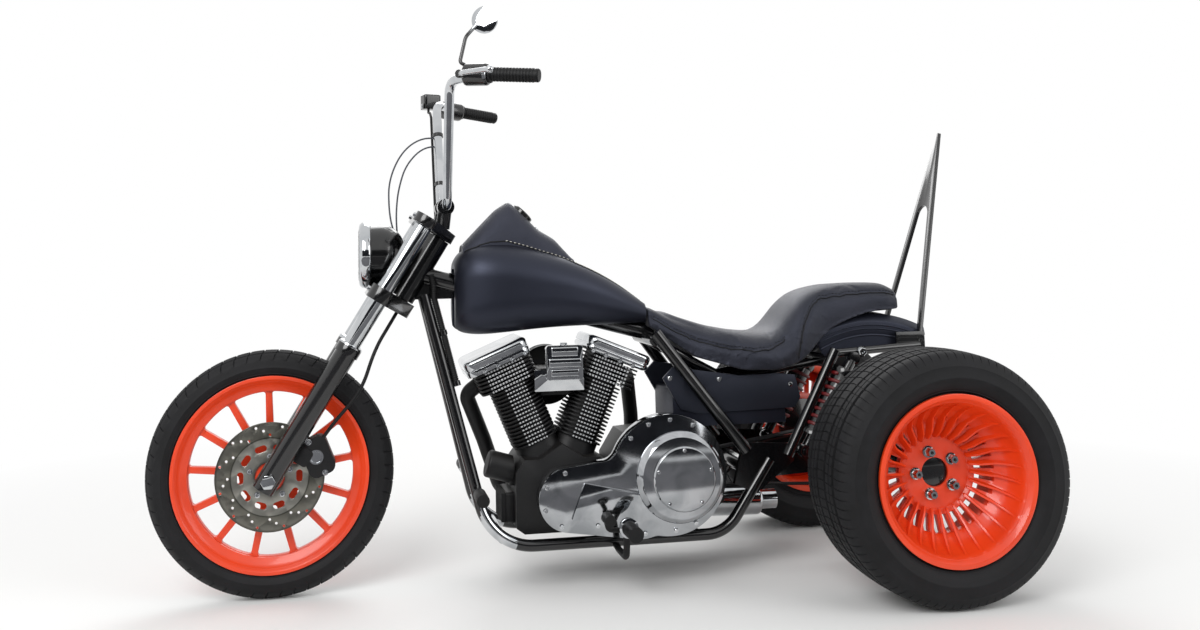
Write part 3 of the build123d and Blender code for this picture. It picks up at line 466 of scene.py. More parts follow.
def headsRound(centre, reach, angles, way, radius, height):
    # bolt heads on a circle in the side view, its centre and reach in millimetres
    behind, across, up = centre
    turns = [radians(angle) for angle in angles]
    return [(mmAt(behind + reach * cos(turn), across, up + reach * sin(turn)), way, radius, height)
            for turn in turns]


# tyres: bead, sidewall and ribbed tread with slits across the blocks
frontTyre = {"pitches": 54, "slant": 9.0, "depth": 0.004}
rearTyre = {"pitches": 84, "slant": 5.0, "depth": 0.0025}
# half outlines of (radius, half width, kind) from the bead to the crown: s sidewall, b block, g groove
frontHalf = [(0.2505, 0.0310, "s"), (0.2620, 0.0328, "s"), (0.2682, 0.0336, "s"), (0.2710, 0.0365, "s"),
             (0.2722, 0.0376, "s"), (0.2740, 0.0374, "s"), (0.2800, 0.0415, "s"), (0.2870, 0.0437, "s"),
             (0.2900, 0.0448, "s"), (0.2925, 0.0437, "s"), (0.3000, 0.0430, "s"), (0.3060, 0.0412, "s"),
             (0.3085, 0.0408, "s"), (0.3100, 0.0404, "b"), (0.3150, 0.0376, "b"), (0.3220, 0.0312, "b"),
             (0.3276, 0.0232, "b"), (0.3245, 0.0226, "g"), (0.3258, 0.0184, "g"), (0.3303, 0.0176, "b"),
             (0.3345, 0.0086, "b"), (0.3358, 0.0034, "b"), (0.3322, 0.0028, "g")]
rearHalf = [(0.1975, 0.0980, "s"), (0.2060, 0.1003, "s"), (0.2195, 0.1012, "s"), (0.2225, 0.1056, "s"),
            (0.2245, 0.1078, "s"), (0.2270, 0.1076, "s"), (0.2360, 0.1160, "s"), (0.2480, 0.1222, "s"),
            (0.2560, 0.1242, "s"), (0.2575, 0.1252, "s"), (0.2600, 0.1252, "s"), (0.2615, 0.1244, "s"),
            (0.2760, 0.1236, "s"), (0.2860, 0.1202, "s"), (0.2880, 0.1204, "s"), (0.2900, 0.1190, "b"),
            (0.3000, 0.1140, "b"), (0.3100, 0.1080, "b"), (0.3180, 0.0990, "b"), (0.3222, 0.0880, "b"),
            (0.3234, 0.0720, "b"), (0.3165, 0.0705, "g"), (0.3165, 0.0620, "g"), (0.3242, 0.0605, "b"),
            (0.3250, 0.0462, "b"), (0.3222, 0.0454, "g"), (0.3222, 0.0428, "g"), (0.3252, 0.0420, "b"),
            (0.3255, 0.0275, "b"), (0.3182, 0.0262, "g"), (0.3182, 0.0180, "g"), (0.3258, 0.0168, "b"),
            (0.3260, 0.0050, "b")]


def tyrePiece(name, node, centre, half, style, body):
    rows = [(r, -y, kind) for r, y, kind in half] + [(r, y, kind) for r, y, kind in reversed(half)]
    steps = (0.0, 0.45, 0.88, 0.90, 0.98)      # shares of one pitch, the last two down in the slit
    verts, faces = [], []
    for pitch in range(style["pitches"]):
        for step, share in enumerate(steps):
            for radius, across, kind in rows:
                turn = 2 * pi * (pitch + share + style["slant"] * abs(across)) / style["pitches"]
                # slits die out on the shoulder
                fade = min(1.0, max(0.0, (radius / half[-1][0] - 0.92) / 0.04))
                reach = radius - (style["depth"] * fade if kind == "b" and step >= 3 else 0)
                verts.append((centre[0] + cos(turn) * reach, centre[1] + across,
                              centre[2] + sin(turn) * reach))
    count = len(rows)
    columns = style["pitches"] * len(steps)
    for c in range(columns):
        d = (c + 1) % columns
        for k in range(count):
            m = (k + 1) % count
            faces.append((c * count + k, d * count + k, d * count + m, c * count + m))
    obj = meshPiece(name, verts, faces, body, tyreRubber)
    splitEdges(obj, 38)
    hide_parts(node)


tyrePiece("frontTyreTread", "front_tyre", (frontAxleX, 0, frontRadius), frontHalf, frontTyre, "front_wheel")
tyrePiece("leftTyreTread", "rear_tyre_left", (rearAxleX, -halfTrack, rearRadius), rearHalf, rearTyre,
          "rear_left_wheel")
tyrePiece("rightTyreTread", "rear_tyre_right", (rearAxleX, halfTrack, rearRadius), rearHalf, rearTyre,
          "rear_right_wheel")
print("tyres made")

# wheel nuts in chrome over the hub's studs
nutSet = {"circle": 57, "across": 440.1, "radius": 0.0125, "height": 0.024}
for side, label in bothSides:
    heads = headsRound((rearBehind, side * nutSet["across"], rearRadius * 1000), nutSet["circle"],
                       range(36, 360, 72), (0, side, 0), nutSet["radius"], nutSet["height"])
    boltSet("wheelNuts" + label, heads, "rear_" + label.lower() + "_wheel", chromePlate, "disc_steel")
print("wheel nuts made")

# shocks: red coils round the damper between black collars
shockSet = {"foot": (1527, 150, 388), "top": (1635, 150, 562), "turns": 7.5, "coil": 0.0335, "wire": 0.0052}
for side, label in bothSides:
    foot, top = (mmAt(behind, side * across, height)
                 for behind, across, height in (shockSet["foot"], shockSet["top"]))
    length = (top - foot).length
    way = (top - foot).normalized()
    across1, across2 = acrossOf(way)
    helix = []
    steps = int(shockSet["turns"] * 24)
    for k in range(steps + 1):
        turn = 2 * pi * k / 24
        spoke = across1 * cos(turn) + across2 * sin(turn)
        helix.append(foot + (top - foot) * (0.08 + 0.84 * k / steps) + spoke * shockSet["coil"])
    tubePiece("shockSpring" + label, helix, shockSet["wire"], "frame", springRed, 10)
    lathePiece("shockCollars" + label, foot, way,
               [(-0.004, 0.016), (-0.004, 0.038), (0.006, 0.039), (0.012, 0.036), (0.016, 0.024),
                (length - 0.018, 0.022), (length - 0.014, 0.036), (length - 0.004, 0.039),
                (length + 0.006, 0.037), (length + 0.006, 0.016)], "frame", blackEnamel, "black_enamel")
print("shocks made")

# grips: ribbed rubber sleeves with an inner flange
gripSet = {"start": (578, 380.8, 1392.9), "end": (700, 441, 1380.4), "ribs": 13}
for side, label in bothSides:
    start, end = (mmAt(behind, side * across, height)
                  for behind, across, height in (gripSet["start"], gripSet["end"]))
    length = (end - start).length
    profile = [(0.0, 0.014), (0.0, 0.0225), (0.003, 0.0235), (0.006, 0.0225), (0.008, 0.0178)]
    for rib in range(gripSet["ribs"]):
        base = 0.010 + rib * (length - 0.022) / gripSet["ribs"]
        profile += [(base, 0.0172), (base + 0.0012, 0.0188), (base + 0.0055, 0.0190),
                    (base + 0.0068, 0.0174)]
    profile += [(length - 0.010, 0.0178), (length - 0.003, 0.0182), (length, 0.016), (length, 0.004)]
    grip = lathePiece("grip" + label, start, end - start, profile, "steering", blackRubber,
                      "black_rubber", 48)
    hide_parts("grips")
print("grips made")

# headlamp rim: a plated bead round the glass
lampRim = [(0.0, 0.078), (-0.002, 0.082), (0.0, 0.088), (0.006, 0.093), (0.016, 0.0945), (0.026, 0.0935),
           (0.030, 0.0905), (0.031, 0.087)]
lathePiece("lampRim", mmAt(244, 0, 930), (1, 0, 0), lampRim, "steering", *plated, 96)
print("lamp rim made")


def between(table, x):
    # straight-line reading of a short table of (x, value)
    for (a, va), (b, vb) in zip(table, table[1:]):
        if x <= b:
            return va + (vb - va) * max(0.0, (x - a) / (b - a))
    return table[-1][1]


def eased(table, x, reach):
    # the same, rounded off over a short reach to both sides
    return sum(between(table, x + d * reach) for d in (-1, -0.5, 0, 0.5, 1)) / 5


def loftPiece(name, stations, power, body, material, ring):
    # boxy rounded arches over stations of (x, half width, bottom, top), closed at both ends
    verts = []
    for x, half, bottom, top in stations:
        for k in range(ring + 1):
            turn = pi * (1 - k / ring)
            c, s = cos(turn), sin(turn)
            y = half * copysign(abs(c) ** (2 / power), c)
            verts.append((x, y, bottom + (top - bottom) * abs(s) ** (2 / power)))
    faces = ringFaces(len(stations), ring + 1)
    faces[-2:] = [cap[::-1] for cap in faces[-2:]]      # caps wound the other way than the sides
    return meshPiece(name, verts, faces, body, material)


def stitchRow(name, points, stitch, body, material):
    # short thread stitches along a line of points, from a dictionary of their spacing, length and radius
    length, radius = stitch["length"], stitch["radius"]
    verts, faces = [], []
    path = [Vector(p) for p in points]
    travelled, nextAt = 0.0, stitch["spacing"] / 2
    for a, b in zip(path, path[1:]):
        run = (b - a).length
        while run > 0 and travelled + run >= nextAt:
            middle = a + (b - a) * ((nextAt - travelled) / run)
            way = (b - a).normalized() * length
            ends = [middle - way / 2, middle - way * 0.3, middle + way * 0.3, middle + way / 2]
            v, f = tubeFaces(ends, [radius * 0.4, radius, radius, radius * 0.4], 6)
            base = len(verts)
            verts += v
            faces += [tuple(base + i for i in face) for face in f]
            nextAt += stitch["spacing"]
        travelled += run
    meshPiece(name, verts, faces, body, material)


# seat: a stepped two-up pad, blown up as cloth and drawn in along its sewn seams
# tables of (metres behind the front axle, metres)
seatShape = {"stations": 66, "power": 3.4, "sideIn": 0.003, "footUp": 0.001, "topIn": 0.005, "voxel": 0.006,
             "pressure": 4.0, "frames": 20, "cap": 0.006, "drawn": 0.004, "channel": 0.008}
seatPiping = {"lift": 0.0006, "radius": 0.0016}
seatStitch = {"above": 0.009, "lift": 0.0003, "spacing": 0.011, "length": 0.007, "radius": 0.0011}
seatTop = [(1.076, 0.776), (1.160, 0.732), (1.250, 0.702), (1.340, 0.684), (1.405, 0.677), (1.440, 0.681),
           (1.470, 0.702), (1.500, 0.742), (1.534, 0.779), (1.572, 0.799), (1.640, 0.812), (1.734, 0.815),
           (1.815, 0.814), (1.838, 0.809), (1.848, 0.796)]
seatBottom = [(1.076, 0.708), (1.120, 0.674), (1.199, 0.616), (1.330, 0.578), (1.434, 0.575), (1.500, 0.592),
              (1.545, 0.622), (1.575, 0.652), (1.610, 0.682), (1.660, 0.706), (1.740, 0.730), (1.800, 0.733),
              (1.848, 0.738)]
seatHalf = [(1.076, 0.058), (1.140, 0.090), (1.240, 0.130), (1.350, 0.157), (1.440, 0.161), (1.520, 0.147),
            (1.590, 0.124), (1.700, 0.115), (1.820, 0.108), (1.848, 0.092)]
# seams in millimetres, on the right side
riderSeam = [(1088, 64, 730), (1140, 90, 696), (1206, 116, 664), (1273, 140, 648), (1362, 160, 637),
             (1419, 164, 650), (1452, 162, 682)]
pillionSeam = [(1500, 152, 606), (1508, 150, 640), (1524, 147, 699), (1562, 133, 766), (1598, 120, 790),
               (1680, 110, 797), (1774, 106, 797), (1838, 98, 786)]


def skinOf(*objects):
    # the surfaces of some pieces, to lay trim on
    verts, faces = [], []
    for obj in objects:
        base = len(verts)
        verts += [vertex.co.copy() for vertex in obj.data.vertices]
        faces += [tuple(base + i for i in face.vertices) for face in obj.data.polygons]
    return BVHTree.FromPolygons(verts, faces)


def filledIn(points, step):
    # a line of points at short steps, without its last one
    row = []
    for a, b in zip(points, points[1:]):
        count = max(1, int((b - a).length / step))
        row += [a + (b - a) * k / count for k in range(count)]
    return row


def laidOn(skin, points, lift):
    # a line of points at steps of 4 mm, each laid on the nearest surface and lifted off it
    laid = []
    for point in filledIn(points, 0.004) + [points[-1]]:
        place, normal = skin.find_nearest(point)[:2]
        laid.append(place + normal * lift)
    return laid


def swollen(obj, shape):
    # cloth pressure blows the remeshed pad out, by the cap at most; the underside stays where it rests
    remesh = obj.modifiers.new("remesh", "REMESH")
    remesh.mode = "VOXEL"
    remesh.voxel_size = shape["voxel"]
    obj.data = bpy.data.meshes.new_from_object(obj.evaluated_get(bpy.context.evaluated_depsgraph_get()))
    obj.modifiers.clear()
    cloth = obj.modifiers.new("cloth", "CLOTH")
    cloth.settings.use_pressure = True
    cloth.settings.uniform_pressure_force = shape["pressure"]
    cloth.settings.effector_weights.gravity = 0
    cloth.point_cache.frame_start = 1
    cloth.point_cache.frame_end = shape["frames"]
    for step in range(1, shape["frames"] + 1):
        scene.frame_set(step)
    blown = obj.evaluated_get(bpy.context.evaluated_depsgraph_get()).data
    moves = [after.co - before.co for after, before in zip(blown.vertices, obj.data.vertices)]
    obj.modifiers.clear()
    for point, move in zip(obj.data.vertices, moves):
        free = min(1.0, max(0.0, (point.normal.z + 0.75) / 0.5))
        point.co += move * min(1.0, shape["cap"] / max(move.length, 1e-9)) * free
    scene.frame_set(1)


def drawnIn(obj, seams, depth, channel):
    # the cover pulled in along its seams, as thread does
    points = [point for seam in seams for point in seam]
    lookup = KDTree(len(points))
    for k, point in enumerate(points):
        lookup.insert(point, k)
    lookup.balance()
    normals = [vertex.normal.copy() for vertex in obj.data.vertices]
    for vertex, normal in zip(obj.data.vertices, normals):
        away = lookup.find(vertex.co)[2]
        vertex.co -= normal * depth * exp(-(away / channel) ** 2)


seatStations = []
seatStart, seatEnd = seatTop[0][0], seatTop[-1][0]
for k in range(seatShape["stations"]):
    x = seatStart + (seatEnd - seatStart) * k / (seatShape["stations"] - 1)
    seatStations.append((frontAxleX + x, eased(seatHalf, x, 0.018) - seatShape["sideIn"],
                         eased(seatBottom, x, 0.012) + seatShape["footUp"],
                         eased(seatTop, x, 0.018) - seatShape["topIn"]))
seat = loftPiece("seatPad", seatStations, seatShape["power"], "frame", seatLeather, 36)
swollen(seat, seatShape)
seams = []
for side, label in bothSides:
    for run in (riderSeam, pillionSeam):
        points = [mmAt(behind, side * across, height) for behind, across, height in run]
        seams.append(laidOn(skinOf(seat), points, 0.0))
drawnIn(seat, seams, seatShape["drawn"], seatShape["channel"])
for face in seat.data.polygons:
    face.use_smooth = True
smoother = seat.modifiers.new("smoother", "SUBSURF")
smoother.levels = 1
smoother.render_levels = 1
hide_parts("seat")
seatSkin = skinOf(seat)
for k, seam in enumerate(seams):
    piping = laidOn(seatSkin, seam, seatPiping["lift"])
    tubePiece("seatPiping" + str(k), piping, seatPiping["radius"], "frame", blackRubber, 8)
    rise = Vector((0, 0, seatStitch["above"]))
    above = laidOn(seatSkin, [point + rise for point in seam], seatStitch["lift"])
    stitchRow("seatStitch" + str(k), above, seatStitch, "frame", blackRubber)
print("seat made")

# console: a leather-covered hump on the tank, with a laced seam that runs on down the tank
consoleShape = {"stations": 52, "power": 2.7, "start": 0.5345, "end": 0.8595, "foot": 0.893, "ease": 0.006}
consoleTop = [(0.534, 0.950), (0.586, 1.004), (0.636, 1.054), (0.674, 1.077), (0.706, 1.050), (0.756, 0.996),
              (0.806, 0.966), (0.860, 0.905)]
consoleHalf = [(0.534, 0.066), (0.586, 0.082), (0.636, 0.080), (0.674, 0.074), (0.756, 0.074),
               (0.806, 0.068), (0.860, 0.052)]
consoleStations = []
for k in range(consoleShape["stations"]):
    share = k / (consoleShape["stations"] - 1)
    x = consoleShape["start"] + (consoleShape["end"] - consoleShape["start"]) * share
    half, top = (eased(table, x, consoleShape["ease"]) for table in (consoleHalf, consoleTop))
    consoleStations.append((frontAxleX + x, half, consoleShape["foot"], top))
console = loftPiece("consolePad", consoleStations, consoleShape["power"], "frame", consoleLeather,
                    40)
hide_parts("console")

tankSeam = {"lift": 0.0004, "bead": 0.0022, "lacedFrom": 30, "spacing": 0.0125, "length": 0.0062,
            "radius": 0.0014}
seamRun = [(537, 62, 936), (568, 76, 949), (612, 81, 960), (661, 76, 961), (714, 74, 946), (768, 72, 928),
           (822, 67, 910), (866, 72, 892), (902, 66, 875), (941, 58, 855), (990, 44, 828), (1030, 30, 805),
           (1062, 16, 784)]
tankSkin = skinOf(console, nodes["fuel_tank"])
for side, label in bothSides:
    points = [mmAt(behind, side * across, height) for behind, across, height in seamRun]
    seamLine = laidOn(tankSkin, points, tankSeam["lift"])
    tubePiece("tankBead" + label, seamLine, tankSeam["bead"], "frame", blackRubber, 8)
    outward = Vector((0, side * 0.0016, 0.0016))
    laced = [point + outward for point in seamLine[tankSeam["lacedFrom"]:]]
    stitchRow("tankLacing" + label, laced, tankSeam, "frame", waxedThread)

# dial and a small knob on the console's rear slope
dialWay = Vector((0.70, 0, 0.714))
dialCase = [(-0.02, 0.030), (0.004, 0.033), (0.010, 0.034), (0.013, 0.032), (0.013, 0.028), (0.010, 0.027)]
dialKnob = [(-0.01, 0.008), (0.008, 0.0085), (0.010, 0.007), (0.010, 0.002)]
lathePiece("dialCase", mmAt(712, 0, 1036), dialWay, dialCase, "frame", blackEnamel, "black_enamel")
lathePiece("dialKnob", mmAt(752, 0, 992), dialWay, dialKnob, "frame", *plated, 32)
print("console made")


def forkSpot(along, across):
    # a place along a fork leg, in millimetres up from the axle
    return mmAt(along * sin(rake), across, frontRadius * 1000 + along * cos(rake))


# fork trim: collars on the sliders, caps on the axle, and bolts in yokes, brake, disc and reservoir
forkTrim = {"legs": 105, "collarAt": 404, "lowerYoke": 568, "upperYoke": 806, "capAcross": 147}
sliderCollar = [(0.0, 0.030), (0.0, 0.0345), (0.004, 0.0355), (0.009, 0.034), (0.012, 0.029),
                (0.014, 0.0262)]
axleCap = [(-0.006, 0.014), (0.0, 0.0145), (0.001, 0.012), (0.0015, 0.004)]
pistonCover = [(0.0, 0.021), (0.002, 0.021), (0.004, 0.0195), (0.004, 0.0150), (0.0025, 0.0145),
               (0.0025, 0.002)]
forkWay = Vector((sin(rake), 0, cos(rake)))
forkFront = Vector((-cos(rake), 0, sin(rake)))
leftward = (0, -1, 0)
yokeBolts = []
for side, label in bothSides:
    leg = side * forkTrim["legs"]
    lathePiece("sliderCollar" + label, forkSpot(forkTrim["collarAt"], leg), forkWay, sliderCollar,
               "steering", *plated, 48)
    hub = mmAt(0, side * forkTrim["capAcross"], frontRadius * 1000)
    lathePiece("axleCap" + label, hub, (0, side, 0), axleCap, "steering", *plated, 32)
    yokeBolts += [(forkSpot(forkTrim["lowerYoke"], leg) + forkFront * 0.0365, forkFront, 0.007, 0.008),
                  (forkSpot(forkTrim["lowerYoke"], side * 70) + forkFront * 0.0372, forkFront, 0.007, 0.008),
                  (forkSpot(forkTrim["upperYoke"], leg) + forkFront * 0.0355, forkFront, 0.006, 0.007)]
boltSet("yokeBolts", yokeBolts, "steering", *plated)
lathePiece("pistonCover", mmAt(124, -101, 388), leftward, pistonCover, "steering", chromePlate,
           "disc_steel", 40)
brakeBolts = [(mmAt(104, -101, 428), leftward, 0.0065, 0.006),
              (mmAt(148, -101, 346), leftward, 0.0065, 0.006),
              (mmAt(66, -107, 402), leftward, 0.007, 0.006)]
boltSet("brakeBolts", brakeBolts, "steering", chromePlate, "disc_steel")
discBolts = headsRound((0, -70.5, frontRadius * 1000), 56, range(90, 450, 72), leftward, 0.0065, 0.005)
boltSet("discBolts", discBolts, "front_wheel", chromePlate, "disc_steel")
boltSet("reservoirBolt", [(mmAt(449, 330, 1406), (-1, 0, 0), 0.008, 0.003)], "steering", *plated)
print("fork trim made")

# engine trim: screws round the primary and clutch covers, in millimetres
primaryFace = -198
clutchFace = -230.8
coverBolts = headsRound((803, primaryFace, 256), 73, (100, 150, 200, 250), leftward, 0.0055, 0.006)
for behind, height in ((878, 184), (945, 163), (1010, 156)):
    coverBolts.append((mmAt(behind, primaryFace, height), leftward, 0.0055, 0.006))
coverBolts += headsRound((1084, primaryFace, 308), 150, (-85, -62, 62, 88, 112, 136), leftward,
                         0.0055, 0.006)
coverBolts += headsRound((1118, clutchFace, 300), 78, range(18, 378, 72), leftward, 0.0045, 0.004)
boltSet("coverBolts", coverBolts, "frame", *plated, 24)


def slabSet(name, slabs, body, material, slotName, edge):
    # plain blocks from pairs of opposite corners in millimetres, with softened edges
    verts, faces = [], []
    boxFaces = ((0, 2, 3, 1), (4, 5, 7, 6), (0, 1, 5, 4), (2, 6, 7, 3), (0, 4, 6, 2), (1, 3, 7, 5))
    for low, high in slabs:
        base = len(verts)
        verts += [mmAt(*(high[a] if (k >> a) & 1 else low[a] for a in range(3))) for k in range(8)]
        faces += [tuple(base + i for i in face) for face in boxFaces]
    obj = meshPiece(name, verts, faces, body, material)
    roundEdges(obj, edge, 3)
    splitEdges(obj, 40)


# steps on the coil cover, then plated fasteners on frame, side covers, timing cover, air cleaner and heads
coilSteps = [((774, -124, 634), (850, -110, 660)), ((766, -128, 604), (858, -110, 628)),
             ((772, -123, 578), (852, -110, 598))]
slabSet("coilSteps", coilSteps, "frame", *plated, 0.003)
boltSet("coilBolt", [(mmAt(812, -104, 663), (0, 0, 1), 0.010, 0.008)], "frame", *plated)
frameBolts = [(mmAt(1687, -152, 620), leftward, 0.013, 0.014),
              (mmAt(1333, -126, 326), leftward, 0.014, 0.012)]
for behind, height in ((1120, 560), (1268, 552), (1484, 530)):
    frameBolts += [(mmAt(behind, side * 103.5, height), (0, side, 0), 0.006, 0.005)
                   for side, label in bothSides]
boltSet("frameBolts", frameBolts, "frame", *plated)
coverScrews = [(698, 255), (760, 318), (850, 317), (897, 270), (850, 223), (760, 192)]
timingScrews = [(mmAt(behind, 153.5, height), (0, 1, 0), 0.005, 0.004) for behind, height in coverScrews]
boltSet("timingScrews", timingScrews, "frame", *plated, 24)
cleanerBand = [(-0.004, 0.086), (-0.004, 0.0895), (0.004, 0.0895), (0.004, 0.086)]
lathePiece("cleanerBand", mmAt(800, 150, 560), (0, 1, 0), cleanerBand, "frame", *plated, 96)
boltSet("cleanerBolt", [(mmAt(800, 171.5, 560), (0, 1, 0), 0.008, 0.006)], "frame", *plated)
headBolts = []
for lean in (-finRims["lean"], finRims["lean"]):
    way = Vector((sin(radians(lean)), 0, cos(radians(lean))))
    over = Vector((way.z, 0, -way.x))
    for offset in (-62, -22, 22, 62):
        place = mmAt(800, -99.5, 245) + way * 0.408 + over * offset / 1000
        headBolts.append((place, leftward, 0.0055, 0.005))
boltSet("headBolts", headBolts, "frame", *plated)


def fenderArc(reach, across):
    # an arc round the rear axle as long as the fender, in millimetres
    turns = [radians(t) for t in range(62, 119, 2)]
    return [mmAt(rearBehind + reach * cos(turn), across, rearRadius * 1000 + reach * sin(turn))
            for turn in turns]


# fender flanks: a rolled edge, two pressed ridges above it and a flat skirt below that ends level
fenderTrim = {"Bead": (337, 103, 0.004), "RidgeLow": (356, 104.6, 0.0024), "RidgeHigh": (367, 104.6, 0.0024)}
skirtSet = {"reach": 338, "inner": 100.5, "outer": 104.5, "foot": 0.612}
for side, label in bothSides:
    for trim, (reach, across, radius) in fenderTrim.items():
        tubePiece("fender" + trim + label, fenderArc(reach, side * across), radius, "frame", mattBlackPaint)
    skirt = []
    for inner, outer in zip(fenderArc(skirtSet["reach"], side * skirtSet["inner"]),
                            fenderArc(skirtSet["reach"], side * skirtSet["outer"])):
        share = max(0.0, (inner.z - skirtSet["foot"]) / (inner.z - rearRadius))
        drop = (Vector((rearAxleX, inner.y, rearRadius)) - inner) * share
        skirt += [inner, outer, outer + drop, inner + drop]
    meshPiece("fenderSkirt" + label, skirt, ringFaces(len(skirt) // 4, 4), "frame", mattBlackPaint,
              False)
print("engine trim made")

# loom: ribbed hose from the steering head down the back of the left downtube, held by two clips
loomSet = {"step": 0.0015, "rib": 0.0098, "groove": 0.0082}
loomRun = [(446, -20, 868), (452, -32, 836), (452, -36, 804), (476, -50, 706), (500, -64, 606),
           (511, -70, 560)]
loomClip = [(-0.007, 0.008), (-0.007, 0.0115), (0.007, 0.0115), (0.007, 0.008)]
loomPath = filledIn([mmAt(*place) for place in loomRun], loomSet["step"])
loomRadius = [loomSet["rib"] if (k + 1) % 4 < 2 else loomSet["groove"] for k in range(len(loomPath))]
tubePiece("neckLoom", loomPath, loomRadius, "frame", blackRubber, 20)
for behind, across, height in ((476, -50, 706), (510, -69.5, 565)):
    lathePiece("loomClip" + str(height), mmAt(behind, across, height), (0.238, -0.141, -0.959), loomClip,
               "frame", blackEnamel, "black_enamel", 24)
print("loom made")

# brake line: black hose from the reservoir down the front of the right bar into the yoke, held by two clips
lineRun = [(470, 340, 1404), (468, 322, 1384), (469, 262, 1374), (470, 232, 1356), (470, 214, 1310),
           (470, 108, 1040), (464, 84, 1018), (452, 60, 1000)]
lineClip = [(-0.005, 0.013), (-0.005, 0.0165), (0.005, 0.0165), (0.005, 0.013)]
linePath = []
for a, b in zip(lineRun, lineRun[1:]):
    linePath += [mmAt(*a) + (mmAt(*b) - mmAt(*a)) * k / 6 for k in range(6)]
tubePiece("brakeLine", linePath, 0.004, "steering", blackRubber)
for across, height in ((190, 1294), (130, 1139)):
    lathePiece("lineClip" + str(height), mmAt(487, across, height), (0, 0.361, 0.933), lineClip, "steering",
               blackEnamel, "black_enamel", 32)
print("brake line made")


def cordPiece(name, run, diameter, body, material):
    # one smooth curve along the route, fixed to its body
    curve = bpy.data.curves.new(name, "CURVE")
    curve.dimensions = "3D"
    curve.resolution_u = 16
    curve.bevel_depth = diameter / 2
    curve.bevel_resolution = 4
    curve.use_fill_caps = True
    spline = curve.splines.new("NURBS")
    spline.points.add(len(run) - 1)
    for point, place in zip(spline.points, run):
        point.co = (*mmAt(*place), 1)
    spline.order_u = 3
    spline.use_endpoint_u = True
    obj = bpy.data.objects.new(name, curve)
    scene.collection.objects.link(obj)
    finishPiece(obj, body, material)
    return obj


# cords: brake hose from caliper to yoke, clutch and throttle cables from the right bar to behind the lamp
cordSize = {"hose": 0.010, "cable": 0.005}
hoseRun = [(138, -96, 432), (172, -104, 480), (246, -118, 560), (282, -100, 670), (330, -60, 742),
           (345, -40, 765)]
clutchRun = [(482, 186, 1284), (446, 184, 1292), (376, 136, 1246), (330, 60, 1151), (328, 18, 1060),
             (338, 0, 1000), (354, -14, 956)]
throttleRun = [(482, 176, 1258), (446, 172, 1262), (384, 112, 1200), (358, 60, 1121), (350, 32, 1058),
               (350, 20, 1004), (354, 12, 960)]
hose = cordPiece("brakeHose", hoseRun, cordSize["hose"], "steering", blackRubber)
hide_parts("brake_hose")
cordPiece("clutchCable", clutchRun, cordSize["cable"], "steering", cableVinyl)
cordPiece("throttleCable", throttleRun, cordSize["cable"], "steering", cableVinyl)
print("cords made")

# studio: pale floor that fades into a white world, three soft lamps, and dark cards for the metal to reflect
studio = {"keyPower": 150, "fillPower": 45, "rimPower": 80, "worldStrength": 0.62, "fadeFrom": 1.5,
          "fadeTo": 3.2, "floorHalf": 30}


def stagePlane(name, corners, material):
    mesh = bpy.data.meshes.new(name)
    mesh.from_pydata(corners, [], [(0, 1, 2, 3)])
    mesh.materials.append(material)
    obj = bpy.data.objects.new(name, mesh)
    scene.collection.objects.link(obj)
    obj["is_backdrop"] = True
    return obj


def pictureRays(tree):
    # 1 for the rays that show the background: from the camera, off metal or through glass
    rays = addNode(tree, "LightPath")
    seen = addNode(tree, "Math", {"operation": "MAXIMUM"},
                   {0: (rays, "Is Camera Ray"), 1: (rays, "Is Glossy Ray")})
    return addNode(tree, "Math", {"operation": "MAXIMUM"}, {0: (seen, 0), 1: (rays, "Is Transmission Ray")})


# uncoated paper: an even off-white that takes the shadow and turns to plain white further out
floorFinish, tree, shader = newMaterial("matteBackdropPaper")
sheet = addNode(tree, "TexNoise", {"Scale": 3.0})
tone = addNode(tree, "ValToRGB", links={"Fac": (sheet, "Fac")})
setRamp(tone, [(0.3, "#EFEFEE"), (0.7, "#F4F4F3")])
setShader(tree, shader, {"Base Color": (tone, 0)}, {"Roughness": 0.9})
place = addNode(tree, "NewGeometry")
spread = addNode(tree, "VectorMath", {"operation": "LENGTH"}, {0: (place, "Position")})
fade = addNode(tree, "MapRange", {1: studio["fadeFrom"], 2: studio["fadeTo"], 3: 0.0, 4: 1.0},
               {0: (spread, "Value")})
share = addNode(tree, "Math", {"operation": "MULTIPLY"}, {0: (fade, 0), 1: (pictureRays(tree), 0)})
glow = addNode(tree, "Emission", {"Strength": 1.0})
blend = addNode(tree, "MixShader", links={0: (share, 0), 1: (shader, 0), 2: (glow, 0)})
tree.links.new(blend.outputs[0], tree.nodes["Material Output"].inputs["Surface"])
reach = studio["floorHalf"]
floorCorners = [(-reach, -reach, 0), (reach, -reach, 0), (reach, reach, 0), (-reach, reach, 0)]
stagePlane("floor", floorCorners, floorFinish)

# flags seen only in reflections: dull grey card on the ground and dark felt behind the camera
for name, material, colour, corners in (
        ("groundFlag", "greyCard", "#6a6a6d",
         [(-5, -7.4, 0.002), (5, -7.4, 0.002), (5, -1.15, 0.002), (-5, -1.15, 0.002)]),
        ("flagBoard", "darkFlagCloth", "#23252b",
         [(-9, -7.5, 0.25), (9, -7.5, 0.25), (9, -7.5, 3.4), (-9, -7.5, 3.4)])):
    flagFinish, tree, shader = newMaterial(material)
    setShader(tree, shader, {}, {"Base Color": linear(colour), "Roughness": 1.0})
    flag = stagePlane(name, corners, flagFinish)
    flag.visible_camera = False
    flag.visible_shadow = False
    flag.visible_diffuse = False

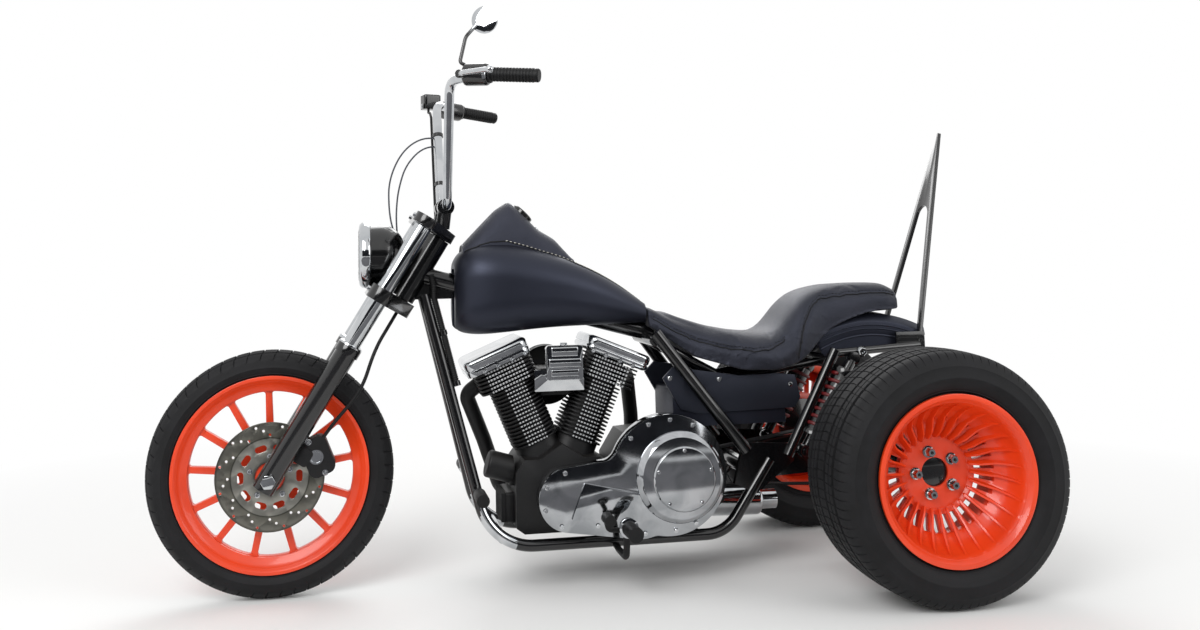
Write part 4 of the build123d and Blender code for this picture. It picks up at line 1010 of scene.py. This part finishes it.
world = bpy.data.worlds.new("studioWorld")
scene.world = world
world.use_nodes = True
tree = world.node_tree
background = tree.nodes["Background"]
strength = addNode(tree, "MapRange", {3: studio["worldStrength"], 4: 1.0}, {0: (pictureRays(tree), 0)})
setShader(tree, background, {"Strength": (strength, 0)}, {"Color": (1, 1, 1, 1)})
for name, spot, size, power in (("keyLamp", (-2.6, -3.6, 3.4), 2.6, studio["keyPower"]),
                                ("fillLamp", (3.2, -3.2, 2.2), 2.4, studio["fillPower"]),
                                ("backLamp", (0.5, 3.4, 3.6), 3.0, studio["rimPower"])):
    lamp = bpy.data.lights.new(name, "AREA")
    lamp.size = size
    lamp.energy = power
    holder = bpy.data.objects.new(name, lamp)
    holder.location = spot
    holder.rotation_euler = (Vector((0, 0, 0.6)) - Vector(spot)).to_track_quat("-Z", "Y").to_euler()
    scene.collection.objects.link(holder)

# camera where the photograph was taken, solved from the wheels
# focal length, centre and picture in the photograph's pixels, sensor in millimetres
shot = {"place": (-0.6536, -3.215, 0.9163), "yaw": 9.8, "pitch": 5.7, "roll": -1.2, "focal": 1103.4,
        "centre": (537.4, 146.1), "picture": (1200, 630), "sensor": 36}
yaw, pitch, roll = (radians(shot[key]) for key in ("yaw", "pitch", "roll"))
forward = Vector((sin(yaw) * cos(pitch), cos(yaw) * cos(pitch), sin(pitch)))
level = Vector((cos(yaw), -sin(yaw), 0))
above = level.cross(forward)
across = level * cos(roll) + above * sin(roll)
upward = above * cos(roll) - level * sin(roll)
wide, high = shot["picture"]
cameraData = bpy.data.cameras.new("photoCamera")
camera = bpy.data.objects.new("photoCamera", cameraData)
scene.collection.objects.link(camera)
columns = (across, upward, -forward, Vector(shot["place"]))
camera.matrix_world = Matrix([[column[row] for column in columns] for row in range(3)] + [[0, 0, 0, 1]])
cameraData.sensor_fit = "HORIZONTAL"
cameraData.sensor_width = shot["sensor"]
cameraData.lens = shot["focal"] / wide * shot["sensor"]
cameraData.shift_x = (wide / 2 - shot["centre"][0]) / wide
cameraData.shift_y = (shot["centre"][1] - high / 2) / wide
cameraData.clip_end = 100
scene.camera = camera
print("studio and camera set")

low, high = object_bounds()
